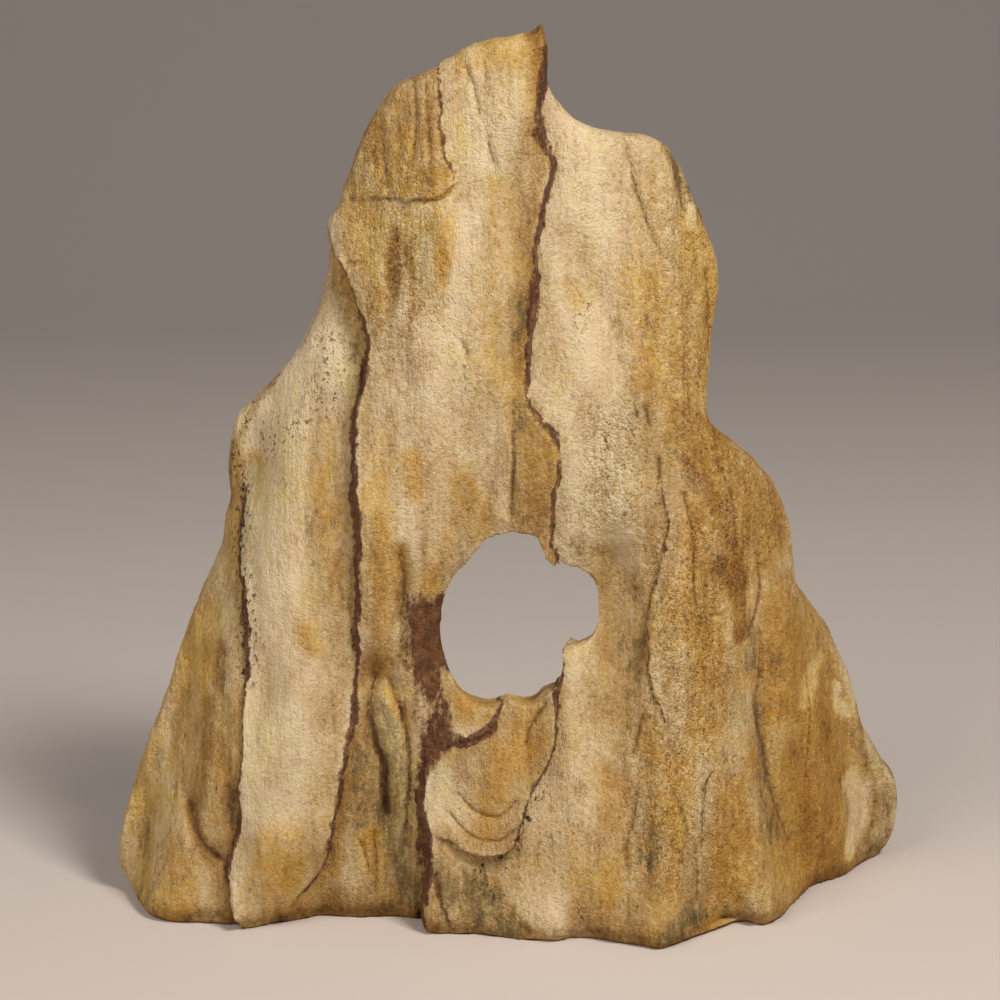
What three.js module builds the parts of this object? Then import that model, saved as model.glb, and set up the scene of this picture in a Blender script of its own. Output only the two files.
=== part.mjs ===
// A free-standing sandstone sculpture: one peak-shaped slab of banded sandstone, split along thin
// brown iron seams, with a natural hole through its middle and a flat foot.
// Millimetres, +Z up, the front face towards -Y, the origin at the middle of the foot.
import * as THREE from "three";

// Driving dimensions.
const HEIGHT = 363;
const EDGE_ROUND = 4;
const LEAST_EDGE = 2;
const FOOT_BEVEL = 3;
const FOOT_BEVEL_HEIGHT = 6;

// The hole is dished on both faces. The front dish is deepest beside and above the hole, and the
// hole widens a little towards the back.
const HOLE_MIDDLE = [3, 124];
const FRONT_DISH = { mean: 6.5, beside: 3.5, above: 2.5, reach: 20 };
const BACK_DISH = { mean: 8, reach: 24 };
const BACK_FLARE = { width: 5, reach: 9 };

// The size of the facets: in the open, along each edge, and in the rows that follow the edges.
const FACET = 6.5;
const FACET_RISE = 6.6;
const FACET_STRAY = 1.1;
const FOOT_FACET = 4.6;
const HOLE_FACET = 3.8;
const LEDGE_FACET = 5.5;
const EDGE_ROWS = [1.3, 4.2];
const HOLE_ROW = 3.5;
const LEAST_GAP = 0.63 * FACET;
const LEAST_ROW_GAP = 0.85;
const LINE_STEP = 4;

// The stone narrows upwards: its half-width and the middle of its width at any height.
const LEFT_AT_FOOT = -160;
const RIGHT_AT_FOOT = 163;
const LEFT_SLOPE = 0.29;
const RIGHT_SLOPE = 0.284;

// The outline seen from the front, as [x, z], up the left edge and down the right one.
const LEFT_EDGE = [
  [-149, 0], [-158.5, 2], [-163.5, 9], [-164.5, 20], [-161, 36], [-154, 56], [-145, 81], [-135, 109],
  [-125, 134], [-118, 151], [-117, 161], [-113.5, 170], [-115, 182], [-113, 193], [-110, 204],
  [-98, 216], [-85, 232], [-77, 248], [-73, 262], [-71.5, 271], [-73, 283], [-68, 290], [-66, 298],
  [-60, 312], [-52, 330], [-45, 339], [-34, 343.5], [-26, 348], [-17, 354], [-5, 357], [7, 358.5],
  [13, HEIGHT],
];
const RIGHT_EDGE = [
  [13, HEIGHT], [15.5, 355], [16, 347], [14, 341], [18, 335], [23, 329], [31, 324], [46, 319.5],
  [59, 317.5], [66, 311], [73, 296], [80, 279], [85, 262], [84, 250], [82, 238], [81, 222],
  [80, 208], [84, 199], [98, 187], [108, 176], [116, 159], [118, 145], [118, 133], [127, 119],
  [136, 106], [144, 87], [151, 64], [158, 50], [168, 36], [170, 27], [169, 14], [166, 4], [161, 0],
];

// The hole, as [x, z], clockwise from its upper left. Two fins of the middle seam stand into it.
const HOLE = [
  [-9, 161], [0, 164], [10, 163.5], [13, 158], [17.5, 149.5], [25, 148], [32, 144], [35, 137],
  [35, 126], [33, 119], [27, 116], [22.5, 115.5], [20.5, 117], [21.5, 110], [19, 101.5],
  [14.5, 100], [9, 94.5], [5, 94.5], [1, 97], [-3, 94], [-9, 93], [-15, 95], [-21, 101],
  [-25, 112], [-26.5, 122], [-26, 133], [-23, 142], [-17, 150],
];

// A ledge is a seam where one layer stands proud of the next. Its line runs downwards. A rise is the
// height of the step at even stations down the line: above 0 where the right side stands proud,
// below 0 where the left side does. The proud layer sinks back to the face within its reach.
const FRONT_LEDGES = [
  {
    line: [
      [-73, 287], [-70, 273], [-67, 270], [-63, 262], [-57.5, 246], [-56, 233], [-59, 219],
      [-61.5, 203], [-61, 180], [-60, 160], [-60.5, 135], [-61.5, 104], [-63.5, 82], [-68, 60],
      [-72, 36], [-77, 22], [-87, 11],
    ],
    rises: [6, 7, 6.5, 6, 5.5, 5, 3.5, -3, -6, -6, -2],
    reach: 45,
    riser: 2.6,
  },
  {
    line: [
      [14.5, 354], [14.5, 342], [12, 331], [13.5, 322], [17, 311], [16, 301], [13, 287], [12, 268],
      [11, 250], [8, 228], [8, 217], [14.5, 208], [20, 199], [20.5, 190], [18.5, 177], [17.5, 163],
      [19, 151],
    ],
    rises: [-8, -8, -7, -7, -7, -6.5, -6, -6, -7, -7, -6],
    reach: 50,
    riser: 2.6,
  },
  {
    line: [
      [-107.5, 181], [-107, 168], [-109, 148], [-107, 130], [-103.5, 115], [-107, 100], [-107.5, 80],
      [-109, 58], [-108, 43], [-114, 29], [-113, 12], [-110, 0],
    ],
    rises: [0, 2, 3, 3, 3, 3, 3, 4, 5],
    reach: 35,
    riser: 1.8,
  },
  {
    line: [
      [-27, 98], [-31, 84], [-34, 66], [-35.5, 50], [-33, 34], [-33.5, 18], [-35, 0],
    ],
    rises: [0, 3, 7, 11, 14, 16],
    reach: 38,
    riser: 5,
  },
  {
    line: [
      [20.5, 117], [21, 108], [19.5, 92], [19, 80], [14, 67], [7.5, 54], [4.5, 41], [-1, 34.5],
      [-9, 33], [-17, 35], [-25, 39],
    ],
    rises: [-6, -6, -6.5, -7, -6.5, -6, -5, -3],
    reach: 40,
    riser: 2.2,
  },
  {
    line: [
      [59, 191], [61.5, 178], [64, 164], [62, 152], [63.5, 145], [60, 136], [56, 130], [54.5, 115],
      [53, 97], [50, 82],
    ],
    rises: [0, 1.5, 2.5, 3.5, 5, 5, 3, 0],
    reach: 30,
    riser: 2.4,
  },
  {
    line: [
      [112, 72], [101, 73], [88, 71], [80, 64], [76, 53], [77, 40], [76, 24], [76, 8],
    ],
    rises: [0, 1.5, 2.5, 2.5, 2, 2, 2],
    reach: 30,
    riser: 2.4,
  },
  {
    line: [
      [-28, 348], [-27, 334], [-26, 320], [-22, 309], [-22, 301], [-28, 296.5], [-45, 296], [-66, 295],
    ],
    rises: [-1.5, -2, -2, -2, -1.8, -1.5, -1],
    reach: 40,
    riser: 1.6,
  },
];
const BACK_LEDGES = [
  {
    line: [
      [42, 320], [36, 285], [44, 250], [38, 215], [50, 180], [46, 150], [56, 110], [48, 70], [58, 30],
      [54, 0],
    ],
    rises: [5, 6, 6, 5, 5, 6, 7, 7],
    reach: 45,
    riser: 3,
  },
  {
    line: [
      [-40, 340], [-34, 300], [-46, 255], [-38, 205], [-52, 160], [-48, 110], [-62, 60], [-56, 0],
    ],
    rises: [-3, -5, -5, -6, -6, -5, -6, -6],
    reach: 50,
    riser: 3,
  },
  {
    line: [
      [96, 184], [92, 150], [104, 110], [98, 70], [112, 30], [108, 0],
    ],
    rises: [0, 4, 5, 6, 6],
    reach: 35,
    riser: 3,
  },
];

// Ridges (lift above 0) and hollows (below 0) that run down the front face.
const FRONT_FOLDS = [
  { line: [[-54, 104], [-50, 70], [-46, 36], [-44, 0]], lift: -5, width: 11 },
  { line: [[96, 150], [100, 122], [98, 100], [103, 72], [110, 46], [122, 20]], lift: -5, width: 8 },
  { line: [[112, 128], [122, 92], [132, 56], [138, 24]], lift: 4, width: 12 },
  { line: [[-86, 226], [-84, 170], [-86, 90], [-92, 34]], lift: 3, width: 14 },
  { line: [[44, 150], [46, 122], [44, 92], [42, 70]], lift: -5, width: 10 },
  { line: [[90, 176], [100, 150], [98, 130]], lift: 3, width: 12 },
  { line: [[62, 290], [66, 250], [62, 214]], lift: 3, width: 12 },
  { line: [[-14, 240], [-18, 200], [-20, 176]], lift: -2, width: 14 },
];

// Low swells all over each face, as waves across the width that fade in and out up the height.
const FRONT_SWELLS = [
  { height: 1.2, width: 34, length: 150, start: 0.3 },
  { height: 0.9, width: 21, length: 96, start: 2.1 },
  { height: 0.9, width: 52, length: 64, start: 4 },
];
const BACK_SWELLS = [
  { height: 2.6, width: 61, length: 170, start: 1.1 },
  { height: 1.6, width: 35, length: 92, start: 3.2 },
  { height: 1.1, width: 24, length: 130, start: 5.4 },
];
const SWAY = 1.2;
const SWAY_LENGTH = 240;

// Level sections of each face: at a height, the depth y at stations across the width, where -1 is
// the left edge and 1 the right one. Smaller y is nearer to the front.
const FRONT_SECTIONS = [
  {
    height: 0,
    at: [
      -1, -0.95, -0.91, -0.84, -0.78, -0.73, -0.68, -0.61, -0.54, -0.46, -0.34, -0.27, -0.23, -0.195,
      -0.08, 0.07, 0.12, 0.17, 0.27, 0.37, 0.44, 0.475, 0.52, 0.57, 0.64, 0.68, 0.745, 0.79, 0.87,
      0.915, 0.96, 1,
    ],
    y: [
      -10, -35, -44, -48, -47, -52, -49, -46, -42, -38, -42, -45, -49, -48, -54, -62, -66, -63, -70,
      -78, -68, -56, -46, -45, -50, -45, -22, -5, 7, 14, 28, 36,
    ],
  },
  {
    height: 45,
    at: [-1, -0.9, -0.7, -0.45, -0.27, -0.1, 0.1, 0.3, 0.4, 0.5, 0.6, 0.68, 0.76, 0.82, 0.9, 1],
    y: [-8, -34, -46, -42, -40, -46, -54, -62, -62, -55, -50, -42, -25, -12, 4, 30],
  },
  {
    height: 100,
    at: [-1, -0.9, -0.7, -0.45, -0.25, 0, 0.25, 0.4, 0.55, 0.68, 0.8, 0.9, 1],
    y: [-10, -30, -42, -44, -43, -46, -50, -50, -46, -36, -18, -2, 18],
  },
  {
    height: 160,
    at: [-1, -0.88, -0.7, -0.4, 0, 0.3, 0.55, 0.75, 0.9, 1],
    y: [-8, -26, -38, -46, -46, -44, -40, -28, -10, 6],
  },
  {
    height: 230,
    at: [-1, -0.85, -0.6, -0.3, 0, 0.3, 0.6, 0.8, 1],
    y: [-6, -20, -34, -44, -42, -38, -32, -22, -4],
  },
  { height: 300, at: [-1, -0.8, -0.4, 0, 0.3, 0.7, 1], y: [-8, -20, -33, -34, -30, -22, -8] },
  { height: 365, at: [-1, 0, 1], y: [-12, -24, -12] },
];
const BACK_SECTIONS = [
  {
    height: 0,
    at: [-1, -0.85, -0.5, -0.15, 0.2, 0.45, 0.65, 0.8, 1],
    y: [8, 16, 12, 4, 0, 8, 28, 50, 70],
  },
  {
    height: 90,
    at: [-1, -0.8, -0.4, 0, 0.4, 0.65, 0.85, 1],
    y: [6, 8, 0, -10, -4, 14, 34, 46],
  },
  {
    height: 180,
    at: [-1, -0.7, -0.3, 0.1, 0.5, 0.8, 1],
    y: [6, -1, -12, -18, -10, 6, 20],
  },
  { height: 270, at: [-1, -0.5, 0, 0.5, 1], y: [4, -10, -17, -10, 6] },
  { height: 365, at: [-1, 0, 1], y: [-4, -12, -2] },
];

// A smooth curve through the values ys at the places xs.
function smoothValue(xs, ys, x) {
  const last = xs.length - 1;
  const slope = (i) => {
    const a = Math.max(i - 1, 0);
    const b = Math.min(i + 1, last);
    return (ys[b] - ys[a]) / (xs[b] - xs[a]);
  };
  const place = THREE.MathUtils.clamp(x, xs[0], xs[last]);
  let i = 0;
  while (i < last - 1 && place > xs[i + 1]) i += 1;
  const width = xs[i + 1] - xs[i];
  const t = (place - xs[i]) / width;
  const rest = 1 - t;
  return (
    rest * rest * (1 + 2 * t) * ys[i] +
    t * t * (3 - 2 * t) * ys[i + 1] +
    rest * rest * t * width * slope(i) -
    t * t * rest * width * slope(i + 1)
  );
}

// A straight-line reading of values spread evenly over 0 to 1.
function evenValue(values, share) {
  const place = THREE.MathUtils.clamp(share, 0, 1) * (values.length - 1);
  const i = Math.min(Math.floor(place), values.length - 2);
  return THREE.MathUtils.lerp(values[i], values[i + 1], place - i);
}

// Points at an even spacing along a smooth line.
function walk(points, spacing) {
  const curve = new THREE.SplineCurve(points.map(([x, z]) => new THREE.Vector2(x, z)));
  return curve.getSpacedPoints(Math.max(2, Math.round(curve.getLength() / spacing)));
}

// The nearest place on a line to a point: how far off it is, on which side (above 0 is the right
// side, walking down) and what share of the way down.
function nearest(line, x, z) {
  let best = { off: Infinity };
  for (let i = 0; i + 1 < line.length; i += 1) {
    const a = line[i];
    const dx = line[i + 1].x - a.x;
    const dz = line[i + 1].y - a.y;
    const raw = ((x - a.x) * dx + (z - a.y) * dz) / (dx * dx + dz * dz);
    const t = THREE.MathUtils.clamp(raw, 0, 1);
    const ex = x - a.x - t * dx;
    const ez = z - a.y - t * dz;
    const off = Math.hypot(ex, ez);
    if (off < best.off) {
      const side = dx * ez - dz * ex >= 0 ? 1 : -1;
      best = { off, side, share: (i + t) / (line.length - 1) };
    }
  }
  return best;
}

// How far a ledge lifts the face at a point.
function ledgeLift(ledge, x, z) {
  const { off, side, share } = nearest(ledge.walked, x, z);
  const rise = evenValue(ledge.rises, share);
  const inward = off * side * Math.sign(rise);
  const step = THREE.MathUtils.clamp(inward / ledge.riser + 0.5, 0, 1);
  return Math.abs(rise) * step * Math.exp(-Math.max(inward, 0) / ledge.reach);
}

// How far a fold lifts the face at a point.
function foldLift(fold, x, z) {
  const { off } = nearest(fold.walked, x, z);
  return fold.lift * fade(off, fold.width);
}

// How far the swells lift a face at a point.
function swellLift(swells, x, z) {
  const turn = 2 * Math.PI;
  const sway = SWAY * Math.sin((turn * z) / SWAY_LENGTH);
  const lifts = swells.map(({ height, width, length, start }) => {
    return height * Math.sin((turn * x) / width + start + sway) * Math.sin((turn * z) / length + start);
  });
  return lifts.reduce((sum, lift) => sum + lift, 0);
}

for (const feature of [...FRONT_LEDGES, ...BACK_LEDGES, ...FRONT_FOLDS]) {
  feature.walked = walk(feature.line, LINE_STEP);
}

const leftEdge = walk(LEFT_EDGE, FACET);
const rightEdge = walk(RIGHT_EDGE, FACET);
const holeEdge = walk([...HOLE, HOLE[0]], HOLE_FACET).slice(0, -1);
const sides = [...leftEdge, ...rightEdge.slice(1)];

// Depth of a face at a point, from its level sections.
function sectionDepth(sections, x, z) {
  const left = LEFT_AT_FOOT + LEFT_SLOPE * z;
  const right = RIGHT_AT_FOOT - RIGHT_SLOPE * z;
  const across = (2 * x - left - right) / (right - left);
  const depths = sections.map((section) => smoothValue(section.at, section.y, across));
  return smoothValue(sections.map((section) => section.height), depths, z);
}

// The depth of the front dish at the hole's rim, all round the hole.
function frontDish(x, z) {
  const angle = Math.atan2(z - HOLE_MIDDLE[1], x - HOLE_MIDDLE[0]);
  const { mean, beside, above } = FRONT_DISH;
  return mean + beside * Math.cos(2 * angle) + above * Math.sin(angle);
}

// How much is left of a form at a distance from it.
function fade(distance, reach) {
  return Math.exp(-((distance / reach) ** 2));
}

// Both faces at a point, with ledges, folds, the dished hole and the rounded edge.
function depths(x, z) {
  const toHole = nearest([...holeEdge, holeEdge[0]], x, z).off;
  const toEdge = nearest(sides, x, z).off;
  let front = sectionDepth(FRONT_SECTIONS, x, z) - swellLift(FRONT_SWELLS, x, z);
  let back = sectionDepth(BACK_SECTIONS, x, z) + swellLift(BACK_SWELLS, x, z);
  for (const ledge of FRONT_LEDGES) front -= ledgeLift(ledge, x, z);
  for (const fold of FRONT_FOLDS) front -= foldLift(fold, x, z);
  for (const ledge of BACK_LEDGES) back += ledgeLift(ledge, x, z);
  front += frontDish(x, z) * fade(toHole, FRONT_DISH.reach);
  back -= BACK_DISH.mean * fade(toHole, BACK_DISH.reach);
  front += FOOT_BEVEL * Math.max(0, 1 - z / FOOT_BEVEL_HEIGHT) ** 2;
  const round = Math.min(EDGE_ROUND, (back - front - LEAST_EDGE) / 2);
  const inside = Math.min(toEdge / EDGE_ROUND, 1);
  const turned = round * (1 - Math.sqrt(1 - (1 - inside) ** 2));
  return { front: front + turned, back: back - turned, toHole };
}

// Whether a point is inside a closed ring of points.
function isInside(ring, x, z) {
  let inside = false;
  ring.forEach((a, i) => {
    const b = ring[(i + 1) % ring.length];
    if (a.y > z !== b.y > z && x < a.x + ((z - a.y) / (b.y - a.y)) * (b.x - a.x)) {
      inside = !inside;
    }
  });
  return inside;
}

// The points of the flat drawing that the facets hang on: rings along the edges, two rails along
// each ledge, and an even field between.
function drawingPoints() {
  const points = [];
  const isFree = (p, gap) => points.every((q) => q.distanceTo(p) >= gap);
  const isStone = (p) => isInside(sides, p.x, p.y) && !isInside(holeEdge, p.x, p.y);
  const add = (candidates, gap) => {
    const fresh = candidates.filter((p) => isStone(p) && isFree(p, gap));
    points.push(...fresh);
  };
  const footSpan = rightEdge.at(-1).x - leftEdge[0].x;
  const footCount = Math.round(footSpan / FOOT_FACET);
  const foot = Array.from({ length: footCount - 1 }, (_, i) => {
    return new THREE.Vector2(leftEdge[0].x + (footSpan * (i + 1)) / footCount, 0);
  });
  points.push(...sides, ...foot, ...holeEdge);
  const offsetRing = (ring, gap, closed) => ring.map((p, i) => {
    const before = closed ? ring.at(i - 1) : ring[Math.max(i - 1, 0)];
    const after = closed ? ring[(i + 1) % ring.length] : ring[Math.min(i + 1, ring.length - 1)];
    const along = after.clone().sub(before).normalize();
    return new THREE.Vector2(p.x + along.y * gap, p.y - along.x * gap);
  });
  for (const ledge of FRONT_LEDGES) {
    const spine = walk(ledge.line, LEDGE_FACET);
    const rails = [1, -1].map((side) => offsetRing(spine, (side * ledge.riser) / 2, false));
    const paired = spine.filter((_, i) => {
      return rails.every((rail) => isStone(rail[i]) && isFree(rail[i], ledge.riser));
    });
    for (const rail of rails) {
      points.push(...paired.map((p) => rail[spine.indexOf(p)]));
    }
  }
  for (const row of EDGE_ROWS) {
    add(offsetRing(sides, row, false), Math.min(row, HOLE_ROW) * LEAST_ROW_GAP);
  }
  add(offsetRing(holeEdge, -HOLE_ROW, true), HOLE_ROW * LEAST_ROW_GAP);
  const field = [];
  for (let row = 0; row * FACET_RISE < HEIGHT; row += 1) {
    for (let x = LEFT_AT_FOOT - FACET; x < RIGHT_AT_FOOT + 2 * FACET; x += FACET) {
      const aside = (row % 2) * FACET * 0.5 + FACET_STRAY * Math.sin(row * 7.3 + x * 3.1);
      const up = FACET_STRAY * Math.sin(row * 5.9 + x * 2.3);
      field.push(new THREE.Vector2(x + aside, (row + 1) * FACET_RISE + up));
    }
  }
  add(field, LEAST_GAP);
  return points;
}

// Delaunay triangles of flat points: each new point clears the circles that hold it, and fans out
// to the rim of the gap. A tiny shift of each point keeps four of them off one circle.
function delaunay(points) {
  const tiny = 0.02;
  const shift = (i, k) => tiny * Math.sin(i * 12.9898 + k * 78.233);
  const far = 1e4;
  const placed = points.map((p, i) => ({ x: p.x + shift(i, 1), y: p.y + shift(i, 2) }));
  placed.push({ x: -far, y: -far }, { x: far, y: -far }, { x: 0, y: far });
  const withCircle = (a, b, c) => {
    const [A, B, C] = [placed[a], placed[b], placed[c]];
    const d = 2 * (A.x * (B.y - C.y) + B.x * (C.y - A.y) + C.x * (A.y - B.y));
    const [sa, sb, sc] = [A, B, C].map((p) => p.x * p.x + p.y * p.y);
    const x = (sa * (B.y - C.y) + sb * (C.y - A.y) + sc * (A.y - B.y)) / d;
    const y = (sa * (C.x - B.x) + sb * (A.x - C.x) + sc * (B.x - A.x)) / d;
    return { corners: [a, b, c], x, y, reach: (A.x - x) ** 2 + (A.y - y) ** 2 };
  };
  const count = points.length;
  let triangles = [withCircle(count, count + 1, count + 2)];
  for (let i = 0; i < count; i += 1) {
    const p = placed[i];
    const kept = [];
    const rim = new Map();
    for (const triangle of triangles) {
      if ((p.x - triangle.x) ** 2 + (p.y - triangle.y) ** 2 >= triangle.reach) {
        kept.push(triangle);
        continue;
      }
      const [a, b, c] = triangle.corners;
      for (const [from, to] of [[a, b], [b, c], [c, a]]) {
        if (!rim.delete(`${to},${from}`)) rim.set(`${from},${to}`, [from, to]);
      }
    }
    for (const [from, to] of rim.values()) kept.push(withCircle(from, to, i));
    triangles = kept;
  }
  return triangles.map((t) => t.corners).filter((corners) => Math.max(...corners) < count);
}

// The closed stone: the drawing lifted to the front face, its mirror to the back face, and walls
// between them round the sides, under the foot and through the hole.
function stoneGeometry() {
  const points = drawingPoints();
  const inStone = delaunay(points).filter((corners) => {
    const x = corners.reduce((sum, i) => sum + points[i].x, 0) / 3;
    const z = corners.reduce((sum, i) => sum + points[i].y, 0) / 3;
    return isInside(sides, x, z) && !isInside(holeEdge, x, z);
  });
  const count = points.length;
  const middle = new THREE.Vector2(...HOLE_MIDDLE);
  const fronts = [];
  const backs = [];
  for (const p of points) {
    const { front, back, toHole } = depths(p.x, p.y);
    const flare = BACK_FLARE.width * fade(toHole, BACK_FLARE.reach);
    const out = p.clone().sub(middle).setLength(flare);
    fronts.push(p.x, front, p.y);
    backs.push(p.x + out.x, back, Math.max(p.y + out.y, 0));
  }
  const faces = [];
  const open = new Map();
  for (const [a, b, c] of inStone) {
    faces.push(a, b, c, count + a, count + c, count + b);
    for (const [from, to] of [[a, b], [b, c], [c, a]]) {
      if (!open.delete(`${to},${from}`)) open.set(`${from},${to}`, [from, to]);
    }
  }
  for (const [from, to] of open.values()) {
    faces.push(to, from, count + from, to, count + from, count + to);
  }
  const geometry = new THREE.BufferGeometry();
  geometry.setAttribute("position", new THREE.Float32BufferAttribute([...fronts, ...backs], 3));
  geometry.setIndex(faces);
  geometry.computeBoundingBox();
  const { min, max } = geometry.boundingBox;
  geometry.translate(-(min.x + max.x) / 2, -(min.y + max.y) / 2, -min.z);
  return geometry;
}

const sandstone = new THREE.Mesh(
  stoneGeometry(),
  new THREE.MeshStandardMaterial({ color: 0xc3a168, roughness: 0.95, metalness: 0, flatShading: true }),
);
sandstone.name = "sandstone";

const sculpture = new THREE.Group();
sculpture.add(sandstone);

export default sculpture;
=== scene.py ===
import math

import bmesh
import bpy
import numpy as np
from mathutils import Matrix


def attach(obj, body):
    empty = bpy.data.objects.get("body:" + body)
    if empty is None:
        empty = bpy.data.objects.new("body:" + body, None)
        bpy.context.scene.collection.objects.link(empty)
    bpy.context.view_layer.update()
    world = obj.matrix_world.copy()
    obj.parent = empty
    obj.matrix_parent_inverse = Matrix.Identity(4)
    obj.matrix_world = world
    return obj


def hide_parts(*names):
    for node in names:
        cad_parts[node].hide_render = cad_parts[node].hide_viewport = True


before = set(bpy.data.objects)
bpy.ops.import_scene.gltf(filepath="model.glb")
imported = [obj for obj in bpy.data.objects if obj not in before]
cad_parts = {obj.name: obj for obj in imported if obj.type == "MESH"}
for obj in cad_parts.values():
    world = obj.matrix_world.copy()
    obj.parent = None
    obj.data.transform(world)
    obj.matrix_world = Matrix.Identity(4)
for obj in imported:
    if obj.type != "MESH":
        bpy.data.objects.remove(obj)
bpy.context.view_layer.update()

# The slab of sandstone. It was split out of its bed along natural joints and left as it broke, so
# it keeps one rough skin all over: low lumps, fine ridges along the bedding and small pits. Here the
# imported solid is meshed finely, its facets are worn off, and that skin is worked into it.
MM = 0.001
VOXEL = 0.95 * MM
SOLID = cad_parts["sandstone"]


def named_socket(sockets, name):
    """The socket of that name which is in use, or the one at that index."""
    if isinstance(name, int):
        return sockets[name]
    return next(s for s in sockets if s.name == name and s.enabled)


def place(tree, kind, inputs=None, **settings):
    """A node in a tree. Plain values set its sockets, and other nodes' outputs are linked to them."""
    made = tree.nodes.new(kind)
    for name, value in settings.items():
        setattr(made, name, value)
    for name, value in (inputs or {}).items():
        socket = named_socket(made.inputs, name)
        if isinstance(value, bpy.types.NodeSocket):
            tree.links.new(value, socket)
        else:
            socket.default_value = value
    return made


def math_node(tree, operation, *values):
    """The output of one math node."""
    return place(tree, "ShaderNodeMath", dict(enumerate(values)), operation=operation).outputs[0]


def vector_node(tree, operation, *values):
    """The vector output of one vector math node."""
    return place(tree, "ShaderNodeVectorMath", dict(enumerate(values)), operation=operation).outputs[0]


def scaled(tree, vector, scale):
    """A vector made longer by a factor."""
    return place(tree, "ShaderNodeVectorMath", {0: vector, "Scale": scale}, operation="SCALE").outputs[0]


def new_tree(name, kind, inputs, outputs):
    """A node tree with sockets of given names and kinds, and its group input and output nodes."""
    tree = bpy.data.node_groups.new(name, kind)
    for label, socket, value in inputs:
        made = tree.interface.new_socket(label, in_out="INPUT", socket_type="NodeSocket" + socket)
        if value is not None:
            made.default_value = value
    for label, socket in outputs:
        tree.interface.new_socket(label, in_out="OUTPUT", socket_type="NodeSocket" + socket)
    return tree, tree.nodes.new("NodeGroupInput"), tree.nodes.new("NodeGroupOutput")


def set_input(modifier, name, value):
    """Sets a modifier's input of that name by its socket's identifier."""
    for item in modifier.node_group.interface.items_tree:
        if item.item_type == "SOCKET" and item.in_out == "INPUT" and item.name == name:
            modifier[item.identifier] = value


def applied(piece):
    """Turns a piece with live modifiers into a plain mesh."""
    graph = bpy.context.evaluated_depsgraph_get()
    mesh = bpy.data.meshes.new_from_object(piece.evaluated_get(graph))
    piece.modifiers.clear()
    piece.data = mesh
    return piece


def noise_height(tree, where, size, height, seed):
    """Noise that runs from minus to plus the height, with grains of that size along x, y and z."""
    noise = place(tree, "ShaderNodeTexNoise",
                  {"Vector": vector_node(tree, "DIVIDE", where, size), "W": seed, "Scale": 1.0,
                   "Detail": 3.0, "Roughness": 0.55}, noise_dimensions="4D").outputs[0]
    return math_node(tree, "MULTIPLY", math_node(tree, "MULTIPLY_ADD", noise, 2.0, -1.0), height)


def weathering_tree():
    """Wears the facets off a mesh, and raises lumps, ridges along the bedding, scales and pits."""
    tree, given, result = new_tree(
        "weathered skin", "GeometryNodeTree",
        [("Geometry", "Geometry", None), ("Facet rounds", "Int", 30), ("Facet wear", "Float", 0.7 * MM),
         ("Lump height", "Float", 2.4 * MM), ("Ridge height", "Float", 1.7 * MM),
         ("Scale height", "Float", 0.6 * MM), ("Pit depth", "Float", 0.6 * MM), ("Seed", "Float", 3.0),
         ("Material", "Material", None)],
        [("Geometry", "Geometry")])
    tree.is_modifier = True
    here = place(tree, "GeometryNodeInputPosition").outputs[0]
    normal = place(tree, "GeometryNodeInputNormal").outputs[0]
    rough = place(tree, "GeometryNodeInputNamedAttribute", {"Name": "rough"}, data_type="FLOAT").outputs[0]
    seed = given.outputs["Seed"]
    worn = place(tree, "GeometryNodeBlurAttribute",
                 {"Value": here, "Iterations": given.outputs["Facet rounds"], "Weight": 1.0},
                 data_type="FLOAT_VECTOR")
    shift = vector_node(tree, "SUBTRACT", named_socket(worn.outputs, "Value"), here)
    length = place(tree, "ShaderNodeVectorMath", {0: shift}, operation="LENGTH").outputs["Value"]
    share = math_node(tree, "MINIMUM", math_node(tree, "DIVIDE", given.outputs["Facet wear"], length), 1.0)
    smooth = place(tree, "GeometryNodeSetPosition",
                   {"Geometry": given.outputs["Geometry"], "Offset": scaled(tree, shift, share)})

    lumps = noise_height(tree, here, (26 * MM, 26 * MM, 48 * MM), given.outputs["Lump height"], seed)
    ridges = noise_height(tree, here, (5.5 * MM, 16 * MM, 30 * MM), given.outputs["Ridge height"], seed)
    pits = noise_height(tree, here, (2.8 * MM, 2.8 * MM, 3.6 * MM), given.outputs["Pit depth"], seed)
    bend = place(tree, "ShaderNodeTexNoise", {"Vector": here, "W": seed, "Scale": 0.13 / MM, "Detail": 2.0},
                 noise_dimensions="4D").outputs["Color"]
    bent = vector_node(tree, "ADD", here, scaled(tree, bend, 9 * MM))
    in_scales = vector_node(tree, "DIVIDE", bent, (8 * MM, 8 * MM, 15 * MM))
    scale_tone = place(tree, "ShaderNodeTexVoronoi", {"Vector": in_scales, "Scale": 1.0}).outputs["Color"]
    scale_level = place(tree, "ShaderNodeSeparateXYZ", {0: scale_tone}).outputs[0]
    centred = math_node(tree, "SUBTRACT", scale_level, 0.5)
    scales = math_node(tree, "MULTIPLY", centred, given.outputs["Scale height"])
    fine = math_node(tree, "ADD", math_node(tree, "ADD", ridges, pits), scales)
    height = math_node(tree, "ADD", lumps, math_node(tree, "MULTIPLY", fine, rough))
    raised = place(tree, "GeometryNodeSetPosition",
                   {"Geometry": smooth.outputs[0], "Offset": scaled(tree, normal, height)})
    real = place(tree, "GeometryNodeRealizeInstances", {"Geometry": raised.outputs[0]})
    dressed = place(tree, "GeometryNodeSetMaterial",
                    {"Geometry": real.outputs[0], "Material": given.outputs["Material"]})
    tree.links.new(dressed.outputs[0], result.inputs[0])
    return tree


def vertex_values(mesh, name):
    """The place, co, or the normal, vector, of each vertex as rows of three."""
    values = np.empty(len(mesh.vertices) * 3, np.float32)
    source = mesh.vertex_normals if name == "vector" else mesh.vertices
    source.foreach_get(name, values)
    return values.reshape(-1, 3).astype(float)


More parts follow.
